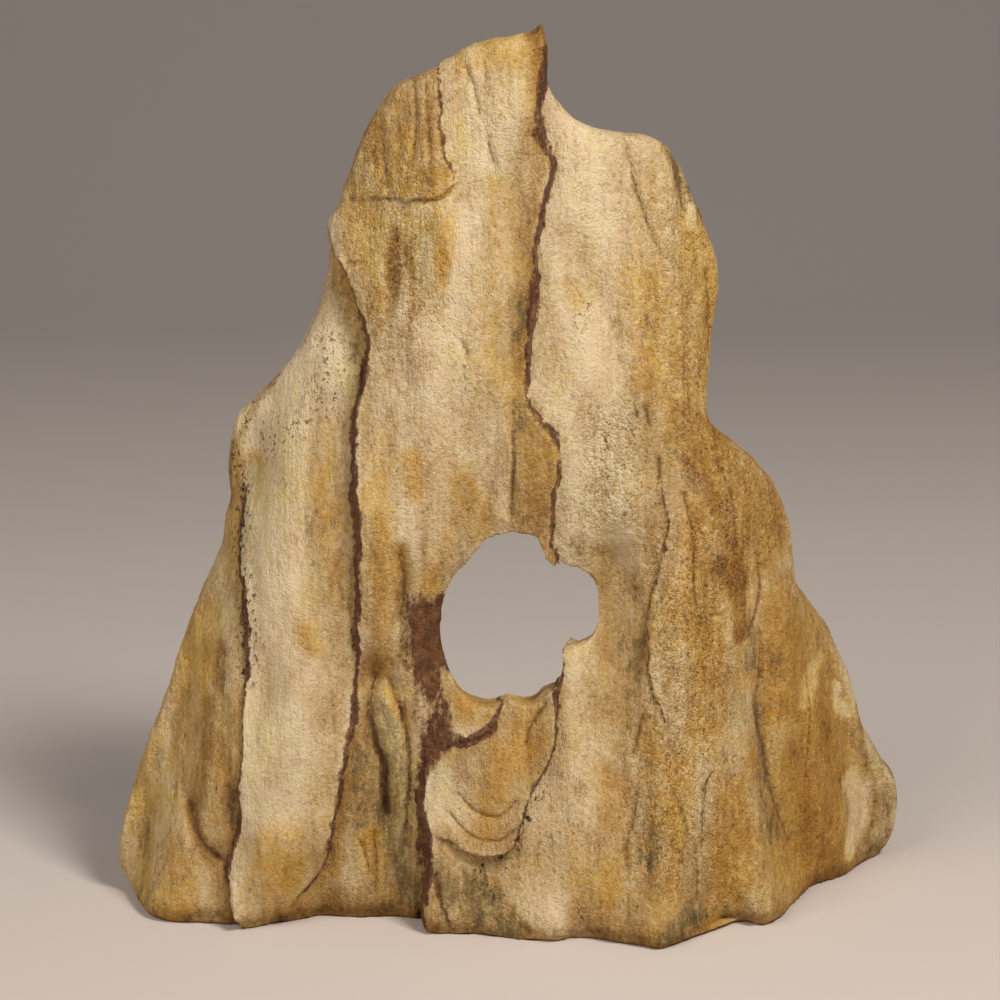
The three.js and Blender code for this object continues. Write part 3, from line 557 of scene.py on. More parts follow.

# The colours of the beds. Sand grains sit in a cement that iron and water stained bed by bed: the
# more iron, the darker, from cream over ochre to brown. Gold turns a stain yellow and orange, moss
# makes it a darker grey green, partly a bloom and partly painted shade in valleys and under ledges,
# and rust and specks are crusts that lie on top. A few iron and rust strokes are painted shade too.

# Grit is how coarse the sand looks. A stroke is given as for the roughness, and a fifth value, if it
# has one, is how soft its edge is. Lists whose names start with BACK are for the back face.
IRON_AND_SHADE = [
    ([-60, 320, -50, 300, -40, 320, -36, 336], 16, 54),
    ([-34, 343, -33, 322, -31, 303], 4, 80, 70),
    ([-52, 324, -53, 314, -50, 304], 3, 85, 80),
    ([-36, 304, -31, 301, -25, 303], 4, 70, 80),
    ([-43, 130, -41, 114, -37, 102], 3, 68, 80),
    ([-60, 306, -54, 303, -48, 306], 3.5, 45, 80),
    ([-57, 322, -62, 308, -67, 292], [1.5, 2, 2.5], 80, 80),
    ([-25, 346, -14, 351, 0, 354, 9, 356], 7, 44),
    # The dark tip of the claw: partly iron stain, partly painted shade on the side that faces away from the
    # light.
    ([12, 368, 13, 362, 14.5, 354, 15, 342], [8, 6, 3.5, 2], 110, 100),
    ([-21, 335, -21, 310, -22, 290], 4, 28),
    ([-8, 340, -6, 325, -12, 300, -18, 285, -20, 262, -21, 245], 9, 14, 100),
    ([-5, 302, -4, 280, -4, 262, -6, 246], 5, 37),
    ([8, 322, 7, 310, 6, 298, 5, 285, 5, 270, 6, 262], [4, 6, 5, 4, 4, 4], 50, 100),
    ([7, 270, 7, 262, 5, 250, 6, 240, 5, 228, 5, 216], [3, 4, 4, 3, 3, 5], 56),
    ([-60, 290, -58, 276, -54, 264], 8, 27),
    ([-45, 284, -46, 275, -45, 262, -46, 252], [1.5, 2.2, 2.4, 1.2], 85),
    ([-39, 280, -39, 264, -38, 242], 1.3, 75, 80),
    ([-33, 292, -28, 280, -27, 265], 3, 55, 80),
    ([-53, 258, -52, 248, -53, 238], 4, 65, 80),
    ([-41, 292, -40, 284], 3, 30, 70),
    ([-45, 245, -36, 236, -26, 230], 10, 30, 80),
    ([-30, 222, -30, 205, -33, 185, -34, 160], 11, 20, 100),
    ([-50, 218, -52, 195, -50, 172], 7, 28),
    ([-54, 170, -51, 150, -50, 130, -52, 112], [4, 7, 8, 7], 46, 100),
    ([-44, 160, -42, 148, -42, 130], 3, 80, 80),
    ([-38, 196, -37, 184], 3.5, 42, 70),
    ([-18, 182, -13, 170, -12, 163], [5, 7, 6], 62),
    ([-14, 210, -6, 196, -4, 178], 7, 31, 80),
    ([8, 210, 10, 196, 9, 180, 9, 166], [5, 8, 8, 7], 66, 100),
    ([-22, 160, -24, 150, -30, 143], 5, 40, 70),
    ([22, 325, 28, 300, 30, 270, 30, 240, 28, 215, 30, 190, 29, 168], [9, 15, 16, 16, 15, 13, 11], 10, 100),
    ([22, 284, 30, 272, 36, 262], 5, 24, 80),
    ([24, 262, 27, 256], 4, 34, 80),
    # A paler spot at the top of the scoop: painted light that evens out the shade of its hollow.
    ([42, 162, 43, 153], 7, 20, 60),
    ([43, 248, 43, 243], 3, 40),
    ([47, 232, 56, 227], 3, 50, 80),
    ([42, 205, 45, 190, 46, 172], 5, 34, 70),
    ([56, 314, 59, 290, 62, 272], [8, 9, 8], 37, 100),
    ([57, 262, 58, 246, 57, 232], 9, 31, 100),
    ([72, 290, 75, 270, 75, 248, 74, 225], [4, 8, 8, 8], 46, 100),
    ([68, 246, 70, 242], 3, 45, 80),
    ([62, 316, 67, 307, 71, 298, 75, 284], [1.5, 3, 3.6, 2.4], 80),
    ([72, 290, 72.5, 281], 1.5, 0, 100, 25),
    ([52, 222, 53, 208, 56, 195], 6, 44),
    ([70, 210, 80, 196, 92, 182, 102, 168, 108, 150], [5, 11, 14, 13, 10], 64, 100),
    ([73, 190, 86, 170, 93, 152], [3, 4, 3], 78, 70),
    ([68, 178, 70, 160, 72, 148], 6, 38, 80),
    ([62, 182, 60, 168, 56, 160], 5, 45, 80),
    ([67, 140, 66, 120, 68, 100, 68, 84], 9, 48),
    ([76, 170, 76, 140, 80, 110, 78, 84], 3, 64, 70),
    ([66, 128, 70, 112, 67, 96], 2.5, 30, 70),
    ([86, 122, 90, 104, 93, 88], 3, 38, 70),
    ([52, 178, 51, 168, 53, 160], 2.5, 50, 70),
    ([84, 148, 90, 145, 96, 139], [4, 5, 4], 85),
    ([93, 138, 95, 128, 96, 118], 3.5, 88),
    ([80, 132, 84, 112, 86, 90], 8, 56),
    ([62, 97, 61, 91], 4, 75),
    ([57, 84, 59, 74, 57, 67], 4, 25),
    ([55, 62, 61, 54, 67, 44, 70, 38], [5, 8, 7, 4], 78),
    ([88, 62, 89, 42, 88, 20], [7, 9, 9], 60, 100),
    ([80, 64, 86, 70, 95, 70], 1.5, 80, 80),
    ([104, 100, 103, 75, 106, 52, 112, 34, 118, 18], [2, 2.5, 2.5, 3, 3], 66, 70),
    ([116, 130, 124, 100, 128, 70, 130, 40, 132, 15], [8, 14, 18, 20, 20], 60),
    ([114, 130, 117, 110, 113, 80, 116, 50], 8, 66),
    ([132, 70, 130, 50, 128, 30, 130, 18], [6, 8, 8, 6], 72),
    ([130, 97, 127, 90, 124, 82], [3.5, 5, 3], 20, 90, 30),
    ([140, 84, 141, 76, 143, 68], [2, 3, 2], 10, 100, 25),
    ([147, 42, 151, 30, 149, 20, 146, 12], [4, 5, 5, 4], 14, 100, 25),
    ([149, 72, 152, 52, 158, 38, 159, 22, 155, 10], 1.8, 85, 80),
    ([161, 48, 166, 26, 162, 8], 5, 62, 90, 35),
    ([32, 120, 34, 95, 30, 72, 20, 50, 14, 25, 16, 5], [9, 11, 13, 14, 14, 12], 27, 100),
    ([27, 12, 30, 10], 3, 60, 80),
    ([44, 66, 44, 44, 40, 22, 42, 5], [6, 8, 9, 9], 50),
    ([29, 124, 30, 112, 31, 98], 7, 42),
    ([24, 158, 31, 156, 38, 151], 4, 38, 80),
    # Along the bottom lip of the hole: painted shade on its inner wall, over a brown rim.
    ([-14, 98, -4, 96, 6, 97, 14, 100, 19, 105], 1.8, 85),
    ([22, 34, 34, 18, 48, 8], 10, 44, 75),
    ([40, 24, 40, 19], 4, 50, 70),
    ([56, 24, 56, 6], 6, 50, 80),
    ([58, 82, 62, 50, 66, 15], 13, 56, 85),
    # The smooth scoop right of the hole: painted shade, darker along its hollow.
    ([49, 142, 48, 132, 48, 112, 47, 97, 48, 86], [3, 7, 8, 7, 4], 55),
    ([0, 92, 2, 78, 0, 62, -8, 48], [8, 11, 11, 9], 50, 100),
    ([12, 95, 14, 84, 10, 74], 4, 64),
    ([-8, 44, -14, 38, 0, 38], 4, 40, 80),
    ([-30, 64, -29, 52, -26, 44], 6, 20, 100),
    ([-22, 98, -17, 90, -13, 86], [4, 6, 4], 62),
    ([-37, 104, -36, 90, -37, 76, -38, 60], 3, 26),
    ([-58, 76, -60, 60, -59, 44], 3.5, 80, 80),
    ([-1, 33, -3, 30], 2.6, 120, 100, 50),
    ([-6, 26, -6, 20, 0, 12, 8, 6], 1.4, 80, 70),
    ([-56, 80, -55, 56, -52, 36, -50, 14], [4, 8, 9, 8], 57, 80),
    ([-48, 30, -46, 18, -42, 8], 4, 55, 80),
    ([-85, 8, -65, 7, -42, 9], 8, 72),
    ([-25, 22, -16, 18, -8, 10], 8, 55),
    ([-76, 232, -90, 214, -97, 196], 14, 8, 100),
    ([-95, 190, -92, 160, -92, 130, -91, 100, -92, 70, -95, 52], [14, 16, 15, 16, 15, 12], 16, 100),
    ([-92, 95, -92, 70, -94, 50], 14, 24, 80),
    ([-71, 205, -71, 180, -72, 155, -69, 135], 4, 40, 80),
    ([-68, 124, -67, 105, -70, 84], 3.5, 40, 80),
    ([-66, 181, -66, 175], 2.6, 75, 80),
    ([-66, 153, -66, 147], 3, 75, 80),
    ([-82, 126, -80, 118], 3.5, 40, 80),
    ([-104, 188, -105, 176], [3, 4], 55),
    ([-108, 176, -108, 164, -110, 154], 3, 85, 80),
    ([-80, 246, -96, 222, -112, 196], 1.8, 70, 80),
    ([-113, 192, -113, 182, -114, 168], 2.4, 75),
    ([-100, 38, -94, 24, -84, 24, -80, 36], 9, 44, 100),
    ([-92, 10, -84, 12], 5, 55, 80),
    ([-75, 50, -74, 44], 3, 5),
    ([-117, 158, -122, 130, -128, 100, -138, 70, -146, 40, -142, 12], [5, 10, 15, 18, 20, 18], 37, 100),
    ([-131, 90, -140, 62, -147, 36, -148, 15], [6, 8, 9, 8], 25, 80),
    ([-122, 92, -122, 76, -124, 62, -121, 42], [7, 7, 7, 6], 50),
    ([-133, 86, -137, 70], 4, 30, 70),
    ([-123, 88, -125, 66, -127, 50], 3, 80, 80),
    ([-130, 46, -126, 36, -119, 28], 3, 95),
    ([-117, 112, -118, 96], 2.6, 80, 80),
    ([-112, 58, -111, 44], 3, 75, 80),
    ([-135, 26, -132, 16], 8, 48, 70),
]
GOLD = [
    ([-50, 335, -45, 315, -40, 300], 14, 50, 80),
    ([-25, 346, -12, 351, 2, 354], 7, 60, 100),
    ([13, 366, 14, 352], 6, 0, 100),
    ([-22, 338, -23, 310, -24, 285, -27, 262], 4, 75),
    ([-5, 300, -5, 275, -7, 248], 6, 45),
    ([-61, 292, -57, 274, -53, 248], 8, 50),
    ([-8, 232, 0, 222, 8, 196, 10, 176], 9, 60, 80),
    ([-55, 205, -54, 170, -50, 140, -52, 110], 8, 75),
    ([-38, 198, -37, 182], 4, 90, 80),
    ([-28, 190, -20, 182, -12, 168], 8, 65),
    ([-24, 164, -28, 152, -32, 142], 5, 60),
    ([24, 330, 30, 287, 28, 237, 32, 181], 14, 0),
    ([22, 262, 28, 254], 4, 60, 70),
    ([56, 312, 60, 285, 62, 262], 9, 35),
    ([56, 262, 58, 245, 56, 230], 10, 60, 100),
    ([75, 280, 76, 255, 74, 225], 9, 75),
    ([72, 208, 84, 192, 98, 174, 106, 150], 14, 70, 100),
    ([84, 148, 92, 143], 6, 50, 80),
    ([94, 160, 97, 130, 98, 100], 6, 80, 80),
    ([68, 178, 70, 160], 6, 80, 80),
    ([66, 140, 68, 90], 9, 55, 80),
    ([76, 170, 78, 140, 82, 115, 80, 84], 9, 75),
    ([62, 97, 61, 91], 4, 100),
    ([88, 64, 89, 42, 88, 18], 11, 100, 100),
    ([112, 125, 120, 90, 128, 60, 128, 20], [10, 15, 18, 20], 95),
    ([66, 80, 74, 50, 72, 15], 13, 80, 85),
    ([40, 60, 40, 40, 38, 18], 8, 70, 80),
    ([40, 24, 40, 19], 4, 100, 80),
    ([26, 42, 26, 22], 6, 55, 70),
    ([0, 92, 3, 75, -2, 58, -8, 42], 12, 85, 100),
    ([-30, 96, -22, 98, -14, 87], 6, 90),
    ([-38, 104, -37, 80], 4, 60, 80),
    ([-48, 96, -46, 86], 3, 90, 80),
    ([-56, 36, -55, 22], 4, 90, 80),
    ([-104, 188, -105, 176], 4, 100),
    ([-71, 205, -71, 150], 5, 60, 80),
    ([-82, 126, -80, 118], 4, 90, 80),
    ([-100, 36, -92, 24, -80, 28], 11, 65),
    ([-89, 47, -86, 42], 4, 90, 70),
    ([-107, 96, -107, 88], 4, 100, 80),
    ([-124, 120, -134, 80, -144, 50, -142, 15], [8, 14, 18, 18], 75),
    ([-118, 70, -114, 40], 6, 80, 70),
]
# Moss strokes darken to grey green: partly a real bloom, partly painted shade in valleys, hollows, under
# ledges and on the underside bevel of the foot.
MOSS_AND_SHADE = [
    # Below the overhanging edge of the seam's upper bed: painted shadow.
    ([-66, 262, -66, 252, -65, 240], [3, 4, 2.5], 70),
    ([-62, 238, -64, 222, -68, 208], [2, 2.5, 1.5], 60, 80),
    ([-50, 94, -47, 75, -47, 52, -46, 30, -42, 10], [2, 6, 7, 6, 5], 100),
    ([-60, 72, -61, 52, -60, 42], 4, 80),
    ([-118, 110, -118, 96], 3, 70, 80),
    ([-112, 58, -111, 44], 3.5, 80, 80),
    ([-140, 60, -150, 30, -148, 8], 9, 45, 80),
    ([-122, 8, -118, 3], 5, 90, 70),
    ([-28, 28, -20, 20, -10, 12, 0, 6], [5, 9, 8, 6], 80),
    # The smooth scoop right of the hole: painted shade in its hollow.
    ([50, 142, 50, 132, 50, 112, 48, 97, 49, 88], [3, 5, 6, 5, 3], 60),
    ([43, 248, 43, 243], 3.5, 80),
    ([24, 158, 31, 156, 38, 151], 4, 55),
    ([5, 256, 5, 246], 3, 90, 80),
    ([6, 216, 4, 208], 4, 80, 80),
    ([-3, 236, -3, 226], 2.5, 60, 80),
    ([99, 114, 99, 104], 2.5, 90),
    ([103, 98, 103, 70, 107, 45, 113, 28], [2, 3, 3, 4], 60, 80),
    ([110, 120, 112, 90, 113, 60, 118, 30], [4, 6, 6, 6], 35, 80),
    ([55, 46, 54, 36], 5, 70, 80),
    ([163, 48, 166, 28, 162, 6], 6, 80),
    ([64, 6, 74, 10, 86, 8], 5, 80),
    ([-92, 175, -80, 165, -80, 150], 4, 50, 70),
    ([70, 302, 73, 292], 2.4, 80),
    ([66, 190, 60, 180], 5, 40, 70),
]
RUST_AND_SHADE = [
    ([-37, 134, -37, 112, -33, 92], 9, 35, 90, 90),
    ([-30, 90, -33, 66], 8, 25, 90, 90),
    ([-33, 130, -33, 118, -32, 110, -31, 104, -31, 98], [5.5, 8, 7.5, 6, 4], 105, 100, 90),
    ([-26, 136, -25, 130], [1.5, 3.5], 100, 100),
    ([-25, 126, -24, 114, -20, 105, -14, 99], [3.5, 3, 2.4, 1.6], 100, 100),
    ([-27, 92, -27, 84, -29, 77, -32, 70, -35, 62], [2, 4.5, 6, 4.5, 2.5], 100, 100),
    ([-18, 80, -24, 78], 2.6, 90, 100),
    ([-53, 104, -56, 92, -55, 80, -51, 68, -50, 56, -50, 46], [0.6, 1.2, 1.4, 1.9, 1.7, 1], 75, 100),
    ([-45, 94, -41, 82, -41, 66, -40, 52, -40, 36], [0.6, 1.1, 1.2, 1.3, 0.8], 60, 100),
    ([-29, 26, -28, 18, -25, 8, -24, 1], [2, 1.4, 1, 0.8], 80, 100),
    ([18.5, 117, 18.5, 108, 17.5, 98], [1.4, 1.6, 1], 80, 100),
    ([-35, 40, -34, 32, -35, 24], [2, 4, 3], 90, 100),
    # The right side of the claw below its tip: painted shade of the side that faces away from the light.
    ([14.5, 350, 13.5, 342, 12.5, 334], [1.5, 2.4, 1.6], 90, 100),
    ([10, 323, 13, 319, 15, 316], [1.5, 2.6, 1.5], 90),
    ([10, 270, 9, 262, 8, 254], [1, 3, 1.5], 80),
    ([-56, 234, -57, 226, -59, 218], [1, 2.6, 1.5], 80),
    ([29, 243, 29, 240], 1.3, 80),
    ([20, 150, 19, 156], 2, 90),
]
SPECKS = [
    ([-72, 236, -68, 226, -74, 215], 7, 80),
    ([-84, 203, -93, 199, -99, 194], 6, 90),
    ([-108, 176, -108, 160, -107, 140, -105, 118, -106, 104], [4, 4, 4, 5, 4], 100, 100),
    ([-112, 194, -112, 180], 3, 100, 100),
    ([-80, 244, -96, 222, -111, 198], 2.5, 80, 100),
    ([11, 59, 11, 57], 2.6, 130, 100),
    ([7, 52, 6, 48], 2.4, 100, 100),
    ([-2, 32, -2, 28], 3, 150, 100),
    ([-12, 31, -12, 24], 2.8, 130, 100),
    ([-9, 20, -6, 15, -2, 10], 3, 90, 100),
    ([15, 39, 27, 47], 3, 60),
    ([30, 254, 29, 246], 2.4, 80),
    ([28, 13, 30, 8], 2.4, 90),
    ([-18, 232, -16, 224], 4, 50),
]
GRIT = [
    ([-97, 205, -100, 120, -112, 20], 30, 60, 100),
    ([24, 335, 28, 300, 30, 262], 16, 80, 100),
    ([42, 205, 42, 185, 44, 165], 10, 140, 100),
    ([72, 300, 74, 240, 84, 195, 98, 155], 15, 120, 100),
    ([-45, 300, -45, 250], 16, 110),
    ([75, 150, 74, 100, 68, 40], 17, 130, 100),
    ([44, 158, 46, 133, 45, 100], 9, 60, 100),
    ([130, 95, 142, 20], 22, 75, 100),
    ([95, 60, 95, 15], 12, 95, 100),
]
BACK_IRON = [
    ([-10, 330, -5, 280, 0, 230, -5, 190], 20, 15, 100),
    ([20, 90, 10, 40, 15, 5], 22, 22, 100),
    ([-100, 160, -112, 100, -108, 30], 18, 20, 100),
    ([60, 300, 68, 240, 84, 170, 104, 110, 130, 50, 140, 10], [14, 18, 24, 26, 28, 20], 60, 100),
    ([-60, 290, -68, 220, -76, 150, -80, 70, -74, 10], [12, 14, 16, 18, 16], 58, 100),
    ([32, 170, 30, 130, 36, 80], 8, 80, 80),
    ([-34, 160, -38, 120, -30, 70], 7, 72, 80),
    ([-140, 80, -150, 30], 12, 70),
    ([90, 150, 94, 100], 6, 85, 60),
]
BACK_GOLD = [
    ([70, 280, 80, 200, 100, 120, 130, 40], 24, 80),
    ([-64, 280, -74, 180, -78, 80], 14, 60),
    ([-10, 350, 10, 355], 10, 90),
    ([30, 60, 34, 20], 14, 70, 80),
]
BACK_MOSS_AND_SHADE = [
    ([-130, 20, -60, 8, 0, 10, 60, 12, 110, 10], 9, 70),
    ([84, 130, 92, 70, 88, 16], 8, 70, 80),
    ([-46, 250, -42, 200], 6, 70, 80),
]
BACK_RUST = [
    ([38, 150, 38, 125, 30, 102], [3, 5, 3], 90, 100),
    ([-28, 140, -31, 116, -24, 102], [3, 4, 2], 90, 100),
    ([42, 246, 40, 232], 3, 80),
]
BACK_SPECKS = [
    ([10, 290, -20, 255], 12, 80),
    ([-95, 110, -90, 60], 10, 80),
    ([50, 110, 50, 60], 6, 100),
]


# Millimetres to each side of a seam, for the iron in its margins and for the dark line itself,
# whose half width falls away beyond its full reach, down to a least value.
MARGIN = 11.0
LINE_REACH = 7.0
FULL_REACH = 3.2
LEAST_HALF = -3.0
# Rounds of blurring that tell the front from the back, and a hollow from a crest.
FACING_ROUNDS = 36
HOLLOW_ROUNDS = 12
# How much iron, gold and moss the foot gains up to that height, which darkens it: painted shade
# where the stone meets the floor, with dirt of the floor.
FOOT_SHADE_AND_DIRT = 13 * MM
FOOT_SHADE_AND_SOIL = {"iron": 0.32, "gold": 0.2, "moss_and_shade": 0.15}


def margin_painted(values, points, stray, seams, share_of_iron):
    """Levels painted along both sides of each seam, with a clean change at the line."""
    for seam in seams:
        off, side, share = nearest(points, smooth_line(seam["line"]), MARGIN)
        left, right = (even_value(np.array(seam[bed]) / 100, share) for bed in ("left", "right"))
        levels = np.where(off * side + stray > 0, right, left)
        fade = 1 - step(0.25 * MARGIN, MARGIN, off)
        values = values + (levels * share_of_iron - values) * 0.9 * fade
    return values


def line_values(points, stray, lines):
    """For the nearest of several lines: the signed distance in millimetres, and half its width,
    which sinks below 0 away from every line."""
    side_off = np.full(len(points), LINE_REACH)
    half_here = np.full(len(points), LEAST_HALF)
    nearest_off = np.full(len(points), LINE_REACH)
    for line, halves in lines:
        off, side, share = nearest(points, smooth_line(line), LINE_REACH)
        closer = off < nearest_off
        half = even_value(halves, share) - 1.6 * np.maximum(off - FULL_REACH, 0)
        nearest_off[closer] = off[closer]
        side_off[closer] = (off * side + stray)[closer]
        half_here[closer] = np.maximum(half, LEAST_HALF)[closer]
    return side_off, half_here


def stains_and_shade(mesh):
    """Stores where each stain, patch of painted shade, seam and crack lies, and how hollow each place is,
    for the material to read.
    """
    places = vertex_values(mesh, "co")
    normals = vertex_values(mesh, "vector")
    front = facing_front(neighbour_mean(mesh, normals, FACING_ROUNDS))
    points = drawing(places)
    stray = ragged(places)
    bent = points + np.column_stack([
        wide * wander(places, (14 * MM, 14 * MM, 22 * MM), seed)
        + fine * wander(places, (5 * MM, 5 * MM, 7 * MM), seed + 1)
        for wide, fine, seed in ((2.0, 0.9, 21), (2.6, 1.2, 23))])
    keep_values(mesh, "grit", front * painted(bent, 0.72, GRIT) + 0.8 * (1 - front))
    beds = layered(places, (9, 40, 70), 3, 31)
    mottle = layered(places, (9, 9, 13), 2, 41)
    clouds = layered(places, (16, 16, 26), 3, 51)
    keep_values(mesh, "hue", 0.6 * clouds - 0.6 * mottle)
    near_foot = 1 - step(0, FOOT_SHADE_AND_DIRT, places[:, 2])
    for name, base, strokes, back_strokes, noise in (
        ("iron", 0.38, IRON_AND_SHADE, BACK_IRON, 0.1 * beds + 0.08 * mottle),
        ("gold", 0.16, GOLD, BACK_GOLD, 0.22 * clouds + 0.1 * beds),
        ("moss_and_shade", 0.05, MOSS_AND_SHADE, BACK_MOSS_AND_SHADE, 0.25 * mottle + 0.1 * beds),
        ("rust", -0.45, RUST_AND_SHADE, BACK_RUST, 0.28 * mottle),
        ("specks", 0.0, SPECKS, BACK_SPECKS, 0.0),
    ):
        levels = [painted(bent, base, strokes), painted(bent, base, back_strokes)]
        if name in ("iron", "gold"):
            share_of_iron = 1.0 if name == "iron" else 0.8
            levels = [margin_painted(level, points, stray, seams, share_of_iron)
                      for level, seams in zip(levels, (FRONT_SEAMS, BACK_SEAMS))]
        # Darker at the foot: painted shade where the stone meets the floor, with dirt of the floor.
        foot_shade_and_soil = FOOT_SHADE_AND_SOIL.get(name, 0) * near_foot
        keep_values(mesh, name, front * levels[0] + (1 - front) * levels[1] + noise + foot_shade_and_soil)
    seam_lines = [[(seam["line"], seam["halves"]) for seam in seams] for seams in (FRONT_SEAMS, BACK_SEAMS)]
    crack_lines = [[(line, [0, half, half, 0]) for line, half in CRACKS], []]
    swell = 1 + 0.8 * layered(places, (5, 5, 11), 2, 71)
    for kind, lines, strays in (("seam", seam_lines, 1), ("crack", crack_lines, 0.5)):
        faces = [line_values(points, stray * strays, of_face) for of_face in lines]
        side, half = (np.where(front > 0.5, on_front, on_back) for on_front, on_back in zip(*faces))
        keep_values(mesh, kind + " side", side)
        keep_values(mesh, kind + " half", np.where(half > 0, half * swell, half))
    # How hollow or crested each place is. The material darkens hollows and lightens crests with it.
    hollow = ((neighbour_mean(mesh, places, HOLLOW_ROUNDS) - places) * normals).sum(1) / MM
    keep_values(mesh, "hollow", np.clip(hollow / 0.8, -1, 1))


stains_and_shade(stone.data)


def tone(red, green, blue):
    """A colour given as it looks on a screen, 0 to 255, as the linear values that nodes take."""
    return tuple(((c / 255 + 0.055) / 1.055) ** 2.4 for c in (red, green, blue)) + (1.0,)


def noise_at(tree, where, size, detail, roughness, seed):
    """Noise from 0 to 1 with swells of that size in millimetres. The seed moves it elsewhere."""
    finer = tuple(1 / length for length in size)
    elsewhere = (seed * 17.3, seed * 5.1, seed * 11.7)
    return place(tree, "ShaderNodeTexNoise",
                 {"Vector": vector_node(tree, "MULTIPLY_ADD", where, finer, elsewhere), "Scale": 1.0,
                  "Detail": detail, "Roughness": roughness}).outputs[0]


def mixed(tree, share, first, second, blend="MIX"):
    """The colour of one mix node."""
    made = place(tree, "ShaderNodeMix", {"Factor": share, "A": first, "B": second},
                 data_type="RGBA", blend_type=blend)
    return named_socket(made.outputs, "Result")


def spread(tree, value, low, high, to_low=0.0, to_high=1.0):
    """A value moved smoothly from one range to another."""
    return place(tree, "ShaderNodeMapRange",
                 {"Value": value, "From Min": low, "From Max": high, "To Min": to_low, "To Max": to_high},
                 interpolation_type="SMOOTHSTEP").outputs[0]


def stirred(tree, value, *noises):
    """A value with noises added, each a noise from 0 to 1 and how much it counts."""
    for noise, strength in noises:
        part = math_node(tree, "MULTIPLY", math_node(tree, "SUBTRACT", noise, 0.5), strength)
        value = math_node(tree, "ADD", value, part)
    return value


def tone_ramp(tree, value, tones):
    """Colours at even steps of a value from 0 to 1.25."""
    ramp = place(tree, "ShaderNodeValToRGB", {0: math_node(tree, "MULTIPLY", value, 0.8)})
    elements = ramp.color_ramp.elements
    for i, colour in enumerate(tones):
        element = elements[i] if i < 2 else elements.new(1.0)
        element.position = i / (len(tones) - 1)
        element.color = tone(*colour)
    return ramp.outputs[0]


def grain_group():
    """Grains of sand: a random value for each grain, another for the odd ones, and its crown."""
    tree, given, result = new_tree(
        "sand grains", "ShaderNodeTree",
        [("Vector", "Vector", None), ("Grain size", "Float", 0.75)],
        [("Tone", "Float"), ("Odd", "Float"), ("Height", "Float")])
    scale = math_node(tree, "DIVIDE", 1.0, given.outputs["Grain size"])
    cells = place(tree, "ShaderNodeTexVoronoi", {"Vector": given.outputs["Vector"], "Scale": scale})
    random = place(tree, "ShaderNodeSeparateColor", {0: cells.outputs["Color"]})
    crown = math_node(tree, "SUBTRACT", 1.0, cells.outputs["Distance"])
    for i, value in enumerate((random.outputs[0], random.outputs[1], crown)):
        tree.links.new(value, result.inputs[i])
    return tree


def flake_group():
    """Crooked flakes of crust, each with a level of its own."""
    tree, given, result = new_tree(
        "flakes", "ShaderNodeTree",
        [("Vector", "Vector", None), ("Flake size", "Vector", (3.2, 3.2, 5.5)), ("Tear", "Float", 0.5),
         ("Tear width", "Float", 9.0)],
        [("Level", "Float")])
    torn = stirred(tree, 0.0, (given.outputs["Tear"], given.outputs["Tear width"]))
    moved = vector_node(tree, "ADD", given.outputs["Vector"], torn)
    cells = vector_node(tree, "DIVIDE", moved, given.outputs["Flake size"])
    flakes = place(tree, "ShaderNodeTexVoronoi", {"Vector": cells, "Scale": 1.0}).outputs["Color"]
    level = place(tree, "ShaderNodeSeparateColor", {0: flakes}).outputs[0]
    tree.links.new(level, result.inputs[0])
    return tree


def dark_line_group():
    """1 inside a ragged line, from the distance to its middle and half its width in millimetres."""
    tree, given, result = new_tree(
        "dark line", "ShaderNodeTree",
        [("Side", "Float", 0.0), ("Half", "Float", 0.0), ("Tear", "Float", 0.5),
         ("Tear width", "Float", 2.6), ("Edge", "Float", 0.55)],
        [("Mask", "Float")])
    off = math_node(tree, "ABSOLUTE", given.outputs["Side"])
    inside = math_node(tree, "SUBTRACT", given.outputs["Half"], off)
    torn = stirred(tree, inside, (given.outputs["Tear"], given.outputs["Tear width"]))
    low = math_node(tree, "MULTIPLY", given.outputs["Edge"], -1.0)
    tree.links.new(spread(tree, torn, low, given.outputs["Edge"]), result.inputs[0])
    return tree


def stored(tree, name):
    """A value that the mesh keeps under a name."""
    return place(tree, "ShaderNodeAttribute", attribute_name=name).outputs["Fac"]


